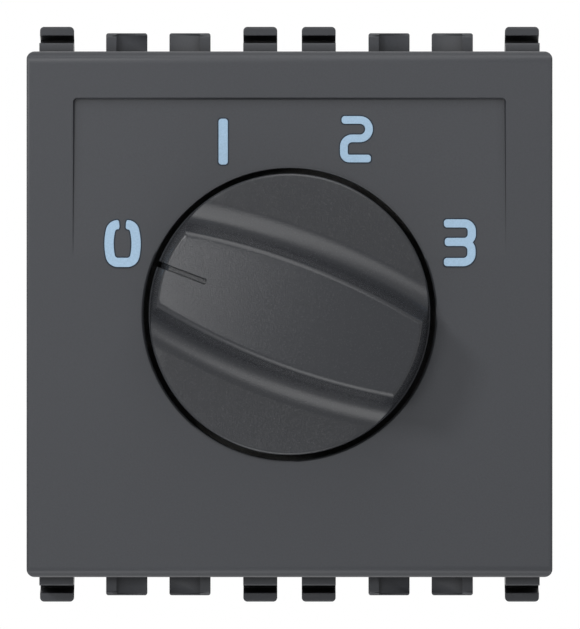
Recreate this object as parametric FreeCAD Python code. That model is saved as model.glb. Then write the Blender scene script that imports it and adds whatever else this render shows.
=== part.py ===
import FreeCAD, Part
import math
import os

from FreeCAD import Vector

# Fan speed selector, two modules wide, for a modular wall frame.
# X is to the right seen from the room, Y goes into the wall, Z is up.
# The origin is on the knob's axis, in the plane where the insert bears on its frame.
# All sizes are millimetres and all angles are degrees.

# Face and cover
MODULE_WIDTH = 22.4
MODULE_COUNT = 2
FACE_HEIGHT = 44.8
FACE_PROUD = 8.0
FACE_WALL = 2.0
SKIRT_WALL = 1.5
SKIRT_CORNER = 0.5
FACE_CORNER = 0.7
ROLLED_EDGE = 1.0
SIDE_EDGE = 0.3
PANEL_MARGIN = 4.03
PANEL_DEPTH = 0.38
PANEL_FADE = 13.4
PANEL_STEP = 0.15
PANEL_CORNER = 0.45
COLLAR_WALL = 1.2
WELL_EDGE = 0.15
LID_PAD_WIDTH = 6.0
LID_PAD_REACH = 1.3

# Snap hooks and bearing tabs, in pairs on each module
HOOK_INSET = 2.5
HOOK_WIDTH = 2.9
HOOK_REACH = 2.2
HOOK_ARM = 0.75
HOOK_ARM_FRONT = 4.0
HOOK_ARM_DEPTH = 1.2
HOOK_LENGTH = 8.0
HOOK_ROOT = 2.6
HOOK_NOSE = 0.75
HOOK_NOSE_RUN = 1.2
HOOK_NOSE_ROUND = 0.6
HOOK_CORNER = 0.35
HOOK_EDGE = 0.12
HOOK_BARB_STEP = 0.3
HOOK_BARB_RUN = 0.1
HOOK_LEAD_ROUND = 0.5
HOOK_END_EDGE = 0.4
FRAME_SHEET = 1.8
TAB_SPREAD = 2.7
TAB_WIDTH = 3.5
TAB_REACH = 1.6
TAB_DEPTH = 3.0
TAB_CORNER = 0.2
TAB_RIB_WIDTH = 0.9
TAB_RIB_PROUD = 0.8
TAB_RIB_ROUND = 0.3

# Knob
KNOB_RADIUS = 12.0
WELL_GAP = 0.45
DISC_PROUD = 0.9
BAR_HEIGHT = 6.3
BAR_HALF_WIDTH = 4.45
BAR_SIDE_RADIUS = 59.0
BAR_END_DRAFT = 0.9
BAR_END_FOOT = 0.6
BAR_CROWN = 0.45
BAR_FOOT_REACH = 3.2
BAR_FOOT_RADIUS = 2.6
KNOB_WALL = 1.5
KNOB_EDGE = 0.4
KNOB_LIFT = 0.8
HUB_RADIUS = 4.6
HUB_LIFT = 0.7
HUB_RIB = 1.0
HUB_RIB_SHORT = 0.4
HUB_RIB_ANGLES = (45.0, 135.0)
SOCKET_SPARE = 0.2
MARK_WIDTH = 0.5
MARK_LENGTH = 4.4
MARK_DEPTH = 0.4
FIRST_POINTER_ANGLE = 21.0

# Spindle, its steps and its fits
SPINDLE_RADIUS = 3.0
SPINDLE_CHAMFER = 0.4
SPINDLE_FLAT = 1.9
SPINDLE_FLANGE = 1.6
FLANGE_THICKNESS = 1.0
SQUARE_SIDE = 4.6
SQUARE_CORNER = 0.4
SQUARE_SHORT = 0.1
SPINDLE_COVERED = 3.0
RUNNING_GAP = 0.05
SLIP_GAP = 0.03
PRESS_GAP = 0.01
END_PLAY = 0.1
CLIP_SPACE = 0.75
CLIP_THICKNESS = 0.3
CLIP_WIDTH = 2.4
CLIP_BEND = 3.0
CLIP_SHORT = 0.8

# Mechanism lid
LID_SUNK = 1.6
LID_THICKNESS = 2.0
LID_BUSH_RADIUS = 6.0
LID_BUSH_LENGTH = 1.2
LID_RIM = 1.2
LID_RIM_DEPTH = 1.2
LID_RIM_CORNER = 0.4
LID_FIT = 0.1
COLLAR_LIFT = 0.8

# Indexing: a wheel with a notch every step, pressed by a leaf spring
STEP_ANGLE = 45.0
POSITIONS = 4
WHEEL_RADIUS = 9.5
WHEEL_THICKNESS = 3.0
WHEEL_HUB_RADIUS = 4.7
WHEEL_RIM = 1.2
WHEEL_WEB_SUNK = 0.8
NOTCH_DEPTH = 1.6
NOTCH_SLOPE = 34.0
NOTCH_ROUND = 1.6
NOTCH_GAP = 0.1
LEAF_THICKNESS = 0.35
LEAF_GAP = 0.7
LEAF_BEND = 1.2
LEAF_POST = 2.2
LEAF_POST_HEIGHT = 2.6
LUG_REACH = 2.4
LUG_HALF_ANGLE = 7.0
STOP_GAP_ANGLE = 0.6
STOP_ARC = 9.0
STOP_WIDTH = 2.2
STOP_OFF_WHEEL = 0.7
STOP_SHORT = 0.3

# Contact rotor, bridge and fixed contacts
ROTOR_RADIUS = 10.8
ROTOR_EDGE = 0.3
ROTOR_HUB_RADIUS = 5.2
ROTOR_HUB_LENGTH = 2.1
ROTOR_DISC = 3.0
ROTOR_SOCKET_DEPTH = 0.5
PIVOT_RADIUS = 2.0
PIVOT_COLLAR = 0.6
CONTACT_SPACE = 1.3
STRIP_THICKNESS = 0.8
STRIP_BEND = 0.3
PAD_CIRCLE = 8.8
PAD_RADIUS = 2.2
RING_INNER = 2.9
RING_OUTER = 4.8
RIVET_RADIUS = 1.4
RIVET_HEIGHT = 0.7
RIVET_EDGE = 0.35
RIVET_SHANK = 0.8
RIVET_UPSET = 0.35
BRIDGE_WIDTH = 3.4
BRIDGE_THICKNESS = 0.5
BRIDGE_BEND = 0.35
BRIDGE_RISE = 1.2
BRIDGE_PLACE = 6.3
BRIDGE_SUNK = 0.75
BRIDGE_FIT = 0.1
POCKET_SPARE = 0.5
TOUCH_GAP = 0.1
SPRING_RADIUS = 1.1
SPRING_WIRE = 0.36
SPRING_WIRE_SIDES = 6
SPRING_TURNS = 3.0
SPRING_FIT = 0.12
SPRING_END_GAP = 0.02
SPRING_SEAT = 1.1
SPRING_BOSS_WALL = 1.3
SPRING_BOSS_SUNK = 0.6
OFF_CONTACT_ANGLE = 225.0

# Contact base
BASE_THICKNESS = 2.0
BASE_CORNER = 0.6
BASE_FIT = 0.2
PIVOT_SHORT = 0.1
PEG_RADIUS = 1.1
PEG_INSET = 2.0
PEG_HEAD = 0.6
PEG_HEAD_HEIGHT = 0.7

# Terminals: a screw that stays put lifts a cage against the fixed tail
TAIL_WIDTH = 4.0
LINK_NARROWER = 0.6
LINK_SHORT = 2.2
CAGE_WIDTH = 7.4
CAGE_LENGTH = 6.0
CAGE_SIDE = 1.0
CAGE_FLOOR = 1.2
CAGE_BEND = 0.8
CAGE_NUT = 2.0
CAGE_NUT_ABOVE = 1.7
CAGE_OFF_BASE = 0.3
CAGE_TRAVEL = 2.4
WIRE_SPACE = 3.6
WIRE_HOLE_RADIUS = 1.75
WIRE_FUNNEL = 0.8
SCREW_RADIUS = 1.75
SCREW_TIP_CHAMFER = 0.5
SCREW_HEAD_RADIUS = 2.9
SCREW_HEAD_HEIGHT = 2.0
SCREW_HEAD_EDGE = 0.3
SCREW_SLOT_WIDTH = 0.8
SCREW_SLOT_DEPTH = 1.1
SCREW_CROSS_LENGTH = 3.4
SCREW_CROSS_DEPTH = 1.3
SCREW_SUNK = 0.9
SCREW_WELL_RADIUS = 3.2
SCREW_LEDGE = 0.8
SCREW_PASSAGE = 0.25
CHAMBER_GAP = 0.2
CHAMBER_END = 0.6
TAIL_GAP = 0.3

# Rear housing
HOUSING_GAP = 0.5
HOUSING_WALL = 1.6
HOUSING_CORNER = 1.2
REAR_STEP_SIDE = 1.8
TERMINAL_WALL = 1.7
ENTRY_WALL = 3.0
REAR_WALL = 2.2
REAR_EDGE = 0.8
REAR_RECESS = 0.6
REAR_RECESS_MARGIN = 1.2
SIDE_RECESS = 0.4
SIDE_RECESS_MARGIN = 3.0
RECESS_CORNER = 0.8
BOSS_RADIUS = 2.6
BOSS_INSET = 3.2
BOSS_WEB = 2.4
LID_SCREW_RADIUS = 1.25
LID_SCREW_LENGTH = 9.0
LID_SCREW_POINT = 0.8
LID_SCREW_PASSAGE = 0.15
LID_SCREW_HEAD_RADIUS = 2.3
LID_SCREW_HEAD = 1.5
LID_SCREW_HEAD_EDGE = 0.5
LID_SCREW_CROSS_LENGTH = 3.0
LID_SCREW_CROSS_WIDTH = 0.6
LID_SCREW_CROSS_DEPTH = 0.9

# Legs of the cover that snap on studs of the housing
LEG_PLACE = 9.0
LEG_WIDTH = 7.0
LEG_THICKNESS = 1.4
LEG_LENGTH = 9.4
LEG_ROOT = 4.0
LEG_TIP_EDGE = 0.3
LEG_LEAD = 0.6
STUD_WIDTH = 4.6
STUD_FRONT = 5.2
STUD_REAR = 8.1
STUD_PROUD = 1.3
STUD_NOSE = 0.6
STUD_NOSE_ROUND = 0.2
STUD_CLEARANCE = 0.12
STUD_FRONT_GAP = 0.3

# How far a cutter passes what it cuts, and how deep a rib or boss is rooted in its wall
PAST = 1.0
ROOT = 0.5
FAR = 60.0

# Places along Y, from the room to the wall
SEAT = 0.0
FACE_FRONT = SEAT - FACE_PROUD
FACE_INNER = FACE_FRONT + FACE_WALL
DISC_FRONT = FACE_FRONT - DISC_PROUD
BAR_FRONT = DISC_FRONT - BAR_HEIGHT
SPINDLE_FRONT = BAR_FRONT + SPINDLE_COVERED
LID_FRONT = SEAT - LID_SUNK
LID_REAR = LID_FRONT + LID_THICKNESS
COLLAR_REAR = LID_FRONT - COLLAR_LIFT
KNOB_REAR = COLLAR_REAR - KNOB_LIFT
HUB_REAR = LID_FRONT - HUB_LIFT
BUSH_REAR = LID_REAR + LID_BUSH_LENGTH
FLANGE_FRONT = BUSH_REAR + END_PLAY
FLANGE_REAR = FLANGE_FRONT + FLANGE_THICKNESS
WHEEL_FRONT = FLANGE_REAR + SLIP_GAP
WHEEL_REAR = WHEEL_FRONT + WHEEL_THICKNESS
ROTOR_FRONT = WHEEL_REAR + SLIP_GAP
ROTOR_DISC_FRONT = ROTOR_FRONT + ROTOR_HUB_LENGTH
ROTOR_REAR = ROTOR_DISC_FRONT + ROTOR_DISC
SQUARE_REAR = ROTOR_DISC_FRONT + ROTOR_SOCKET_DEPTH
SPRING_FRONT = ROTOR_FRONT + SPRING_SEAT
BRIDGE_MIDDLE = ROTOR_REAR - BRIDGE_SUNK
STRIP_FRONT = ROTOR_REAR + CONTACT_SPACE
BASE_FRONT = STRIP_FRONT + STRIP_THICKNESS
BASE_REAR = BASE_FRONT + BASE_THICKNESS
LEDGE_REAR = BASE_REAR + HOUSING_WALL
CAGE_FRONT = BASE_REAR + CAGE_OFF_BASE
TAIL_FRONT = CAGE_FRONT + CAGE_FLOOR + WIRE_SPACE
TAIL_REAR = TAIL_FRONT + STRIP_THICKNESS
SCREW_TIP = TAIL_REAR + END_PLAY
NUT_FRONT = TAIL_REAR + CAGE_NUT_ABOVE
CAGE_REAR = NUT_FRONT + CAGE_NUT
CHAMBER_REAR = CAGE_REAR + CAGE_TRAVEL + CHAMBER_GAP
HEAD_FRONT = CHAMBER_REAR + SCREW_LEDGE + END_PLAY
HEAD_REAR = HEAD_FRONT + SCREW_HEAD_HEIGHT
HOUSING_REAR = HEAD_REAR + SCREW_SUNK
WIRE_DEPTH = TAIL_FRONT - WIRE_SPACE / 2

# Places across X and Z
HALF_WIDTH = MODULE_WIDTH * MODULE_COUNT / 2
HALF_HEIGHT = FACE_HEIGHT / 2
WELL_RADIUS = KNOB_RADIUS + WELL_GAP
HOUSING_X = HALF_WIDTH - SKIRT_WALL - HOUSING_GAP
HOUSING_Z = HALF_HEIGHT - SKIRT_WALL - HOUSING_GAP
CAVITY_X = HOUSING_X - HOUSING_WALL
CAVITY_Z = HOUSING_Z - HOUSING_WALL
REAR_X = HOUSING_X - REAR_STEP_SIDE
CHAMBER_OUTER_X = REAR_X - TERMINAL_WALL
CHAMBER_OUTER_Z = HOUSING_Z - ENTRY_WALL
TERMINAL_X = CHAMBER_OUTER_X - CHAMBER_GAP - CAGE_WIDTH / 2
CHAMBER_INNER_X = TERMINAL_X - CAGE_WIDTH / 2 - CHAMBER_GAP
TERMINAL_Z = CHAMBER_OUTER_Z - CHAMBER_END - CAGE_LENGTH / 2
LEG_Z = TERMINAL_Z - CAGE_LENGTH / 2 - TAIL_GAP - STRIP_THICKNESS / 2
CHAMBER_INNER_Z = LEG_Z - STRIP_THICKNESS / 2 - TAIL_GAP
BOSS_X = CAVITY_X - BOSS_INSET
BOSS_Z = CAVITY_Z - BOSS_INSET
PEG_Z = CAVITY_Z - PEG_INSET
LEAF_END = BOSS_X - BOSS_RADIUS - BASE_FIT - ROOT
LEG_INNER_X = HOUSING_X + STUD_CLEARANCE
LEAF_Z = WHEEL_RADIUS + LEAF_GAP + LEAF_THICKNESS / 2

# Angles in the front view, anticlockwise from the right
POINTER_ANGLE = 180.0 - FIRST_POINTER_ANGLE
TURN_RANGE = STEP_ANGLE * (POSITIONS - 1)
LUG_ANGLE = 270.0 + TURN_RANGE / 2

MODULE_CENTRES = [(i - (MODULE_COUNT - 1) / 2) * MODULE_WIDTH for i in range(MODULE_COUNT)]

# The two corners of the housing, as signs of x and z, that hold the lid's screws
SCREW_CORNERS = ((-1, 1), (1, -1))

# The corner of the housing where each terminal sits, as signs of x and z
TERMINALS = {"common": (1, -1), "speed_1": (-1, -1), "speed_2": (-1, 1), "speed_3": (1, 1)}

# Each view has its direction to the right, its direction up and its depth
VIEWS = {
    "front": (Vector(1, 0, 0), Vector(0, 0, 1), Vector(0, 1, 0)),
    "side": (Vector(0, 1, 0), Vector(0, 0, 1), Vector(1, 0, 0)),
    "top": (Vector(1, 0, 0), Vector(0, 1, 0), Vector(0, 0, 1)),
}
AXIS_POINT = Vector(0, 0, 0)
KNOB_AXIS = Vector(0, 1, 0)


def corner_stops(corners):
    """Where each (u, v, radius) corner starts and ends, and the middle of its arc if it is round."""
    stops = []
    for i, (u, v, radius) in enumerate(corners):
        here = Vector(u, v, 0)
        back = Vector(*corners[i - 1][:2], 0) - here
        ahead = Vector(*corners[(i + 1) % len(corners)][:2], 0) - here
        back.normalize()
        ahead.normalize()
        if radius > 0:
            half_turn = back.getAngle(ahead) / 2
            run = radius / math.tan(half_turn)
            inward = back + ahead
            inward.normalize()
            middle = here + inward * (radius / math.sin(half_turn) - radius)
            stops.append((here + back * run, middle, here + ahead * run))
        else:
            stops.append((here - back * radius, None, here - ahead * radius))
    return stops


def rounded_wire(corners, place):
    """A closed wire round (u, v, radius) corners: 0 leaves one sharp, below 0 cuts it straight."""
    stops = corner_stops(corners)
    edges = []
    for i, (start, middle, end) in enumerate(stops):
        following = stops[(i + 1) % len(stops)][0]
        if middle:
            edges.append(Part.Arc(place(start), place(middle), place(end)).toShape())
        elif start != end:
            edges.append(Part.LineSegment(place(start), place(end)).toShape())
        if not end.isEqual(following, 1e-6):
            edges.append(Part.LineSegment(place(end), place(following)).toShape())
    return Part.Wire(edges)


def prism(view, corners, low, high):
    """A straight solid with the given outline in a view, from low to high along its depth."""
    right, up, depth = VIEWS[view]

    def place(point):
        return right * point.x + up * point.y + depth * low

    return Part.Face(rounded_wire(corners, place)).extrude(depth * (high - low))


def radial_face(corners):
    """A face beside the knob's axis from (radius, y, rounding) corners."""
    return Part.Face(rounded_wire(corners, lambda point: Vector(point.x, point.y, 0)))


def turned(corners):
    """A solid of revolution about the knob's axis from (radius, y, rounding) corners."""
    return radial_face(corners).revolve(AXIS_POINT, KNOB_AXIS, 360)


def rectangle(low, high, radius=0):
    """Corners of a rectangle from its low to its high corner, all with one rounding."""
    return [
        (low[0], low[1], radius),
        (high[0], low[1], radius),
        (high[0], high[1], radius),
        (low[0], high[1], radius),
    ]


def slab(half_x, half_z, front, rear, radius):
    """A plate centred on the knob's axis, with rounded corners in the front view."""
    return prism("front", rectangle((-half_x, -half_z), (half_x, half_z), radius), front, rear)


def block(x, y, z):
    """A box from three (low, high) pairs."""
    return Part.makeBox(x[1] - x[0], y[1] - y[0], z[1] - z[0], Vector(x[0], y[0], z[0]))


def rod(radius, front, rear, x=0.0, z=0.0):
    """A round bar along Y."""
    return Part.makeCylinder(radius, rear - front, Vector(x, front, z), KNOB_AXIS)


def on_side(sign, near, far):
    """The (low, high) pair from near to far, on the side that the sign gives."""
    return tuple(sorted((sign * near, sign * far)))


def about(middle, width):
    """The (low, high) pair of a width centred on a place."""
    return middle - width / 2, middle + width / 2


def ribbon(points, thickness, bend):
    """Corners of a strip of even thickness along points, its bends rounded inside by bend."""
    directions = []
    for start, end in zip(points, points[1:]):
        step = Vector(end[0] - start[0], end[1] - start[1], 0)
        directions.append(step.normalize())
    one_side = []
    other_side = []
    for i, point in enumerate(points):
        before = directions[max(i - 1, 0)]
        after = directions[min(i, len(directions) - 1)]
        normal = Vector(-before.y - after.y, before.x + after.x, 0)
        normal = normal * (thickness / 2 / (1 + before.dot(after)))
        turn = before.cross(after).z
        inner = bend if abs(turn) > 1e-9 else 0
        outer = bend + thickness if inner else 0
        left, right = (inner, outer) if turn > 0 else (outer, inner)
        one_side.append((point[0] + normal.x, point[1] + normal.y, left))
        other_side.append((point[0] - normal.x, point[1] - normal.y, right))
    return one_side + other_side[::-1]


def at_angle(shape, angle):
    """A copy of a shape drawn pointing to the right, turned to an angle of the front view."""
    copy = shape.copy()
    copy.rotate(AXIS_POINT, KNOB_AXIS, -angle)
    return copy


def upside_down(shape):
    """The shape's mirror image below the knob's axis."""
    return shape.mirror(AXIS_POINT, Vector(0, 0, 1))


def left_right(shape):
    """The shape's mirror image on the other side of the knob's axis."""
    return shape.mirror(AXIS_POINT, Vector(1, 0, 0))


def joined(first, *others):
    """One solid from shapes that meet or overlap."""
    return first.multiFuse(list(others)).removeSplitter()


def sector(inner, outer, front, rear, angle, half_angle):
    """A piece of a ring round the knob's axis, centred on an angle of the front view."""
    face = radial_face(rectangle((inner, front), (outer, rear)))
    return at_angle(face.revolve(AXIS_POINT, KNOB_AXIS, 2 * half_angle), angle + half_angle)


# Front cover


def cover_blank():
    """The cover's outside: rolled top and bottom edges and nearly sharp sides."""
    front = slab(HALF_WIDTH, HALF_HEIGHT, FACE_FRONT, SEAT, FACE_CORNER)
    rolled = [
        (FACE_FRONT, -HALF_HEIGHT, ROLLED_EDGE),
        (SEAT, -HALF_HEIGHT, 0),
        (SEAT, HALF_HEIGHT, 0),
        (FACE_FRONT, HALF_HEIGHT, ROLLED_EDGE),
    ]
    eased = [
        (-HALF_WIDTH, FACE_FRONT, SIDE_EDGE),
        (HALF_WIDTH, FACE_FRONT, SIDE_EDGE),
        (HALF_WIDTH, SEAT, 0),
        (-HALF_WIDTH, SEAT, 0),
    ]
    side = prism("side", rolled, -FAR, FAR)
    top = prism("top", eased, -FAR, FAR)
    return front.common(side).common(top)


def panel_cut():
    """The recess of the face: deepest along its top edge and running out to nothing."""
    top = HALF_HEIGHT - PANEL_MARGIN
    side = HALF_WIDTH - PANEL_MARGIN
    half_step = PANEL_STEP / 2
    slope = PANEL_DEPTH / PANEL_FADE
    floor = [
        (FACE_FRONT, top - PANEL_FADE, 0),
        (FACE_FRONT + PANEL_DEPTH - slope * half_step, top - half_step, 0),
        (FACE_FRONT, top + half_step, 0),
        (FACE_FRONT - PAST, top + half_step, 0),
        (FACE_FRONT - PAST, top - PANEL_FADE, 0),
    ]
    flare = half_step + PAST * PANEL_STEP / PANEL_DEPTH
    walls = [
        (-side - flare, FACE_FRONT - PAST, 0),
        (side + flare, FACE_FRONT - PAST, 0),
        (side - half_step, FACE_FRONT + PANEL_DEPTH, 0),
        (-side + half_step, FACE_FRONT + PANEL_DEPTH, 0),
    ]
    outline = slab(side + half_step, top + half_step, FACE_FRONT - PAST, FACE_INNER, PANEL_CORNER)
    recess = prism("side", floor, -FAR, FAR).common(prism("top", walls, -FAR, FAR))
    return recess.common(outline)


def round_topped(x, width, tip, corner):
    """A column in the front view, its two top corners rounded, to trim a hook or a tab."""
    low, high = about(x, width)
    outline = [(low, 0, 0), (high, 0, 0), (high, tip, corner), (low, tip, corner)]
    return prism("front", outline, -FAR, FAR)


def snap_hook(x):
    """A barbed hook: an arm on the cover's edge and a leg that springs open towards the room."""
    edge = HALF_HEIGHT
    arm = edge + HOOK_ARM
    tip = edge + HOOK_REACH
    root = HOOK_LENGTH - HOOK_ROOT
    catch = SEAT + FRAME_SHEET
    side = [
        (SEAT - HOOK_ARM_FRONT, edge - ROOT, 0),
        (SEAT - HOOK_ARM_FRONT, arm, -HOOK_EDGE),
        (root, arm, 0),
        (root + HOOK_BARB_RUN, arm + HOOK_BARB_STEP, 0),
        (catch, tip - HOOK_NOSE, 0),
        (catch, tip, -HOOK_EDGE),
        (catch + HOOK_NOSE_RUN, tip, HOOK_NOSE_ROUND),
        (HOOK_LENGTH, edge + HOOK_BARB_RUN, HOOK_LEAD_ROUND),
        (HOOK_LENGTH, edge - HOOK_ARM_DEPTH, -HOOK_END_EDGE),
        (SEAT - ROOT, edge - HOOK_ARM_DEPTH, 0),
        (SEAT - ROOT, edge - ROOT, 0),
    ]
    hook = prism("side", side, *about(x, HOOK_WIDTH))
    return hook.common(round_topped(x, HOOK_WIDTH, tip, HOOK_CORNER))


def bearing_tab(x, rib_side):
    """A tab that bears on the frame, with a rib along one of its sides."""
    base = HALF_HEIGHT - ROOT
    tip = HALF_HEIGHT + TAB_REACH
    body = [
        (SEAT - TAB_DEPTH, base, 0),
        (SEAT - TAB_DEPTH, tip, TAB_CORNER),
        (SEAT, tip, 0),
        (SEAT, base, 0),
    ]
    rib = [
        (SEAT - TAB_DEPTH - TAB_RIB_PROUD, base, 0),
        (SEAT - TAB_DEPTH - TAB_RIB_PROUD, tip - TAB_CORNER / 2, TAB_RIB_ROUND),
        (SEAT - ROOT, tip - TAB_CORNER / 2, 0),
        (SEAT - ROOT, base, 0),
    ]
    half = TAB_WIDTH / 2
    rib_edges = sorted((x + rib_side * half, x + rib_side * (half - TAB_RIB_WIDTH)))
    tab = prism("side", body, *about(x, TAB_WIDTH)).fuse(prism("side", rib, *rib_edges))
    return tab.common(round_topped(x, TAB_WIDTH, tip, TAB_CORNER))


def snap_leg(z):
    """A leg at the cover's right side, with a window for the housing's stud."""
    inner = LEG_INNER_X
    outer = inner + LEG_THICKNESS
    plan = [
        (inner, SEAT - LEG_ROOT, 0),
        (outer, SEAT - LEG_ROOT, 0),
        (outer, LEG_LENGTH, LEG_TIP_EDGE),
        (inner + LEG_LEAD, LEG_LENGTH, 0),
        (inner, LEG_LENGTH - LEG_LEAD, 0),
    ]
    leg = prism("top", plan, *about(z, LEG_WIDTH))
    window = block(
        (inner - PAST, outer + PAST),
        (STUD_FRONT - STUD_FRONT_GAP, STUD_REAR + STUD_CLEARANCE),
        about(z, STUD_WIDTH + 2 * STUD_CLEARANCE),
    )
    return leg.cut(window)


def lid_pads():
    """Pads inside the skirt that hold the lid on the housing."""
    depth = (FACE_INNER - ROOT, LID_FRONT - SLIP_GAP)
    across = about(0, LID_PAD_WIDTH)
    pads = []
    for side in (-1, 1):
        wall_x = HALF_WIDTH - SKIRT_WALL
        wall_z = HALF_HEIGHT - SKIRT_WALL
        pads.append(block(on_side(side, wall_x - LID_PAD_REACH, wall_x + ROOT), depth, across))
        pads.append(block(across, depth, on_side(side, wall_z - LID_PAD_REACH, wall_z + ROOT)))
    return pads


def front_cover():
    """The face with its recess and well, its skirt, hooks, tabs and snap legs, moulded in one."""
    shell = cover_blank()
    inside_x = HALF_WIDTH - SKIRT_WALL
    inside_z = HALF_HEIGHT - SKIRT_WALL
    shell = shell.cut(slab(inside_x, inside_z, FACE_INNER, SEAT + PAST, SKIRT_CORNER))
    shell = shell.cut(panel_cut())
    collar = rod(WELL_RADIUS + COLLAR_WALL, FACE_INNER - ROOT, COLLAR_REAR)
    catches = []
    for centre in MODULE_CENTRES:
        for side in (-1, 1):
            hook = snap_hook(centre + side * (MODULE_WIDTH / 2 - HOOK_INSET))
            tab = bearing_tab(centre + side * TAB_SPREAD, side)
            catches += [hook, tab, upside_down(hook), upside_down(tab)]
    legs = []
    for z in (-LEG_PLACE, LEG_PLACE):
        leg = snap_leg(z)
        legs += [leg, left_right(leg)]
    cover = joined(shell, collar, *lid_pads(), *catches, *legs)
    well = turned([
        (0, FACE_FRONT - PAST, 0),
        (WELL_RADIUS + WELL_EDGE + PAST, FACE_FRONT - PAST, 0),
        (WELL_RADIUS, FACE_FRONT + WELL_EDGE, 0),
        (WELL_RADIUS, SEAT, 0),
        (0, SEAT, 0),
    ])
    return cover.cut(well)


# Knob assembly, drawn with its pointer to the right


def bar_side_cut(inset):
    """What is cut from one side of the bar: a drafted wall on a long arc and a hollow foot."""
    arc_centre = BAR_HALF_WIDTH - BAR_SIDE_RADIUS
    foot = BAR_HALF_WIDTH + BAR_FOOT_REACH
    floor = DISC_FRONT + inset
    start = Vector(BAR_FRONT, BAR_HALF_WIDTH - inset, 0)
    centre = Vector(DISC_FRONT - BAR_FOOT_RADIUS, foot, 0)
    radius = BAR_FOOT_RADIUS + inset
    to_centre = centre - start
    lean = math.atan2(to_centre.y, to_centre.x) - math.asin(radius / to_centre.Length)
    run = math.sqrt(to_centre.Length ** 2 - radius ** 2)
    along = Vector(math.cos(lean), math.sin(lean), 0)
    tangent = start + along * run
    half_angle = math.atan2(tangent.y - centre.y, tangent.x - centre.x) / 2
    middle = centre + Vector(math.cos(half_angle), math.sin(half_angle), 0) * radius
    above = start - along * (PAST / along.x)
    outside = foot + KNOB_RADIUS

    def place(y, z):
        return Vector(0, y, z)

    wall_top = place(above.x, above.y)
    wall_foot = place(tangent.x, tangent.y)
    foot_end = place(floor, foot)
    outer_floor = place(floor, outside)
    outer_top = place(above.x, outside)
    edges = [
        Part.LineSegment(wall_top, wall_foot).toShape(),
        Part.Arc(wall_foot, place(middle.x, middle.y), foot_end).toShape(),
        Part.LineSegment(foot_end, outer_floor).toShape(),
        Part.LineSegment(outer_floor, outer_top).toShape(),
        Part.LineSegment(outer_top, wall_top).toShape(),
    ]
    sweep = math.degrees(math.atan(2 * KNOB_RADIUS / BAR_SIDE_RADIUS))
    face = Part.Face(Part.Wire(edges))
    axis_point = place(0, arc_centre)
    face.rotate(axis_point, KNOB_AXIS, -sweep)
    return face.revolve(axis_point, KNOB_AXIS, 2 * sweep)


def knob_form(inset, rear):
    """The knob's outside, or the same form a wall's thickness inside it."""
    crown_radius = (KNOB_RADIUS ** 2 + BAR_CROWN ** 2) / (2 * BAR_CROWN)
    crown = Part.makeSphere(crown_radius - inset, Vector(0, BAR_FRONT + crown_radius, 0))
    radius = KNOB_RADIUS - inset
    blank = turned([
        (0, BAR_FRONT - PAST, 0),
        (radius - BAR_END_DRAFT, BAR_FRONT - PAST, 0),
        (radius - BAR_END_DRAFT, BAR_FRONT, 0),
        (radius, DISC_FRONT + inset + BAR_END_FOOT, 0),
        (radius, rear, 0),
        (0, rear, 0),
    ])
    cut = bar_side_cut(inset)
    return blank.common(crown).cut(cut).cut(upside_down(cut))


def knob_front_edges(form):
    """The sharp edges of the knob's form: round its bar's top and down its outer wall."""
    near = 0.1
    edges = []
    for edge in form.Edges:
        middle = edge.valueAt(sum(edge.ParameterRange) / 2)
        on_wall = math.hypot(middle.x, middle.z) > KNOB_RADIUS - BAR_END_DRAFT - near / 5
        on_top = middle.y < BAR_FRONT + BAR_CROWN + near
        seam = edge.BoundBox.ZLength < 1e-6
        if (on_top or on_wall) and edge.BoundBox.YMax < DISC_FRONT + near and not seam:
            edges.append(edge)
    return edges


def spindle_socket():
    """The D-shaped hole in the knob's hub, with room for the clip beside the flat."""
    socket = rod(SPINDLE_RADIUS + SLIP_GAP, SPINDLE_FRONT - SOCKET_SPARE, SEAT)
    flat = SPINDLE_FLAT + RUNNING_GAP + CLIP_SPACE
    return socket.cut(block((flat, FAR), (-FAR, FAR), (-FAR, FAR)))


def pointer_mark():
    """The groove from the bar's end that points at the chosen speed, and its notch in the rim."""
    start = KNOB_RADIUS - MARK_LENGTH + MARK_WIDTH / 2
    floor = BAR_FRONT + BAR_CROWN / 2 + MARK_DEPTH
    side = [
        (start, BAR_FRONT - PAST, 0),
        (start, floor, 0),
        (KNOB_RADIUS - BAR_END_DRAFT - MARK_DEPTH, floor, 0),
        (KNOB_RADIUS - MARK_DEPTH, DISC_FRONT, 0),
        (KNOB_RADIUS + PAST, DISC_FRONT, 0),
        (KNOB_RADIUS + PAST, BAR_FRONT - PAST, 0),
    ]
    groove = prism("top", side, *about(0, MARK_WIDTH))
    return groove.fuse(rod(MARK_WIDTH / 2, BAR_FRONT - PAST, floor, x=start))


def knob():
    """The turning knob: a skirted disc with a grip bar across it, hollow behind."""
    form = knob_form(0, KNOB_REAR)
    outside = form.makeFillet(KNOB_EDGE, knob_front_edges(form))
    hollow = knob_form(KNOB_WALL, KNOB_REAR + PAST)
    hub = rod(HUB_RADIUS, BAR_FRONT + KNOB_WALL / 2, KNOB_REAR).common(form)
    hub = hub.fuse(rod(HUB_RADIUS, KNOB_REAR - ROOT, HUB_REAR))
    rib = block(
        about(0, 2 * (KNOB_RADIUS - ROOT)),
        (DISC_FRONT + ROOT, KNOB_REAR - HUB_RIB_SHORT),
        about(0, HUB_RIB),
    )
    ribs = [at_angle(rib, angle) for angle in HUB_RIB_ANGLES]
    body = joined(outside.cut(hollow), hub, *ribs)
    return at_angle(body.cut(spindle_socket()).cut(pointer_mark()), POINTER_ANGLE)


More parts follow.
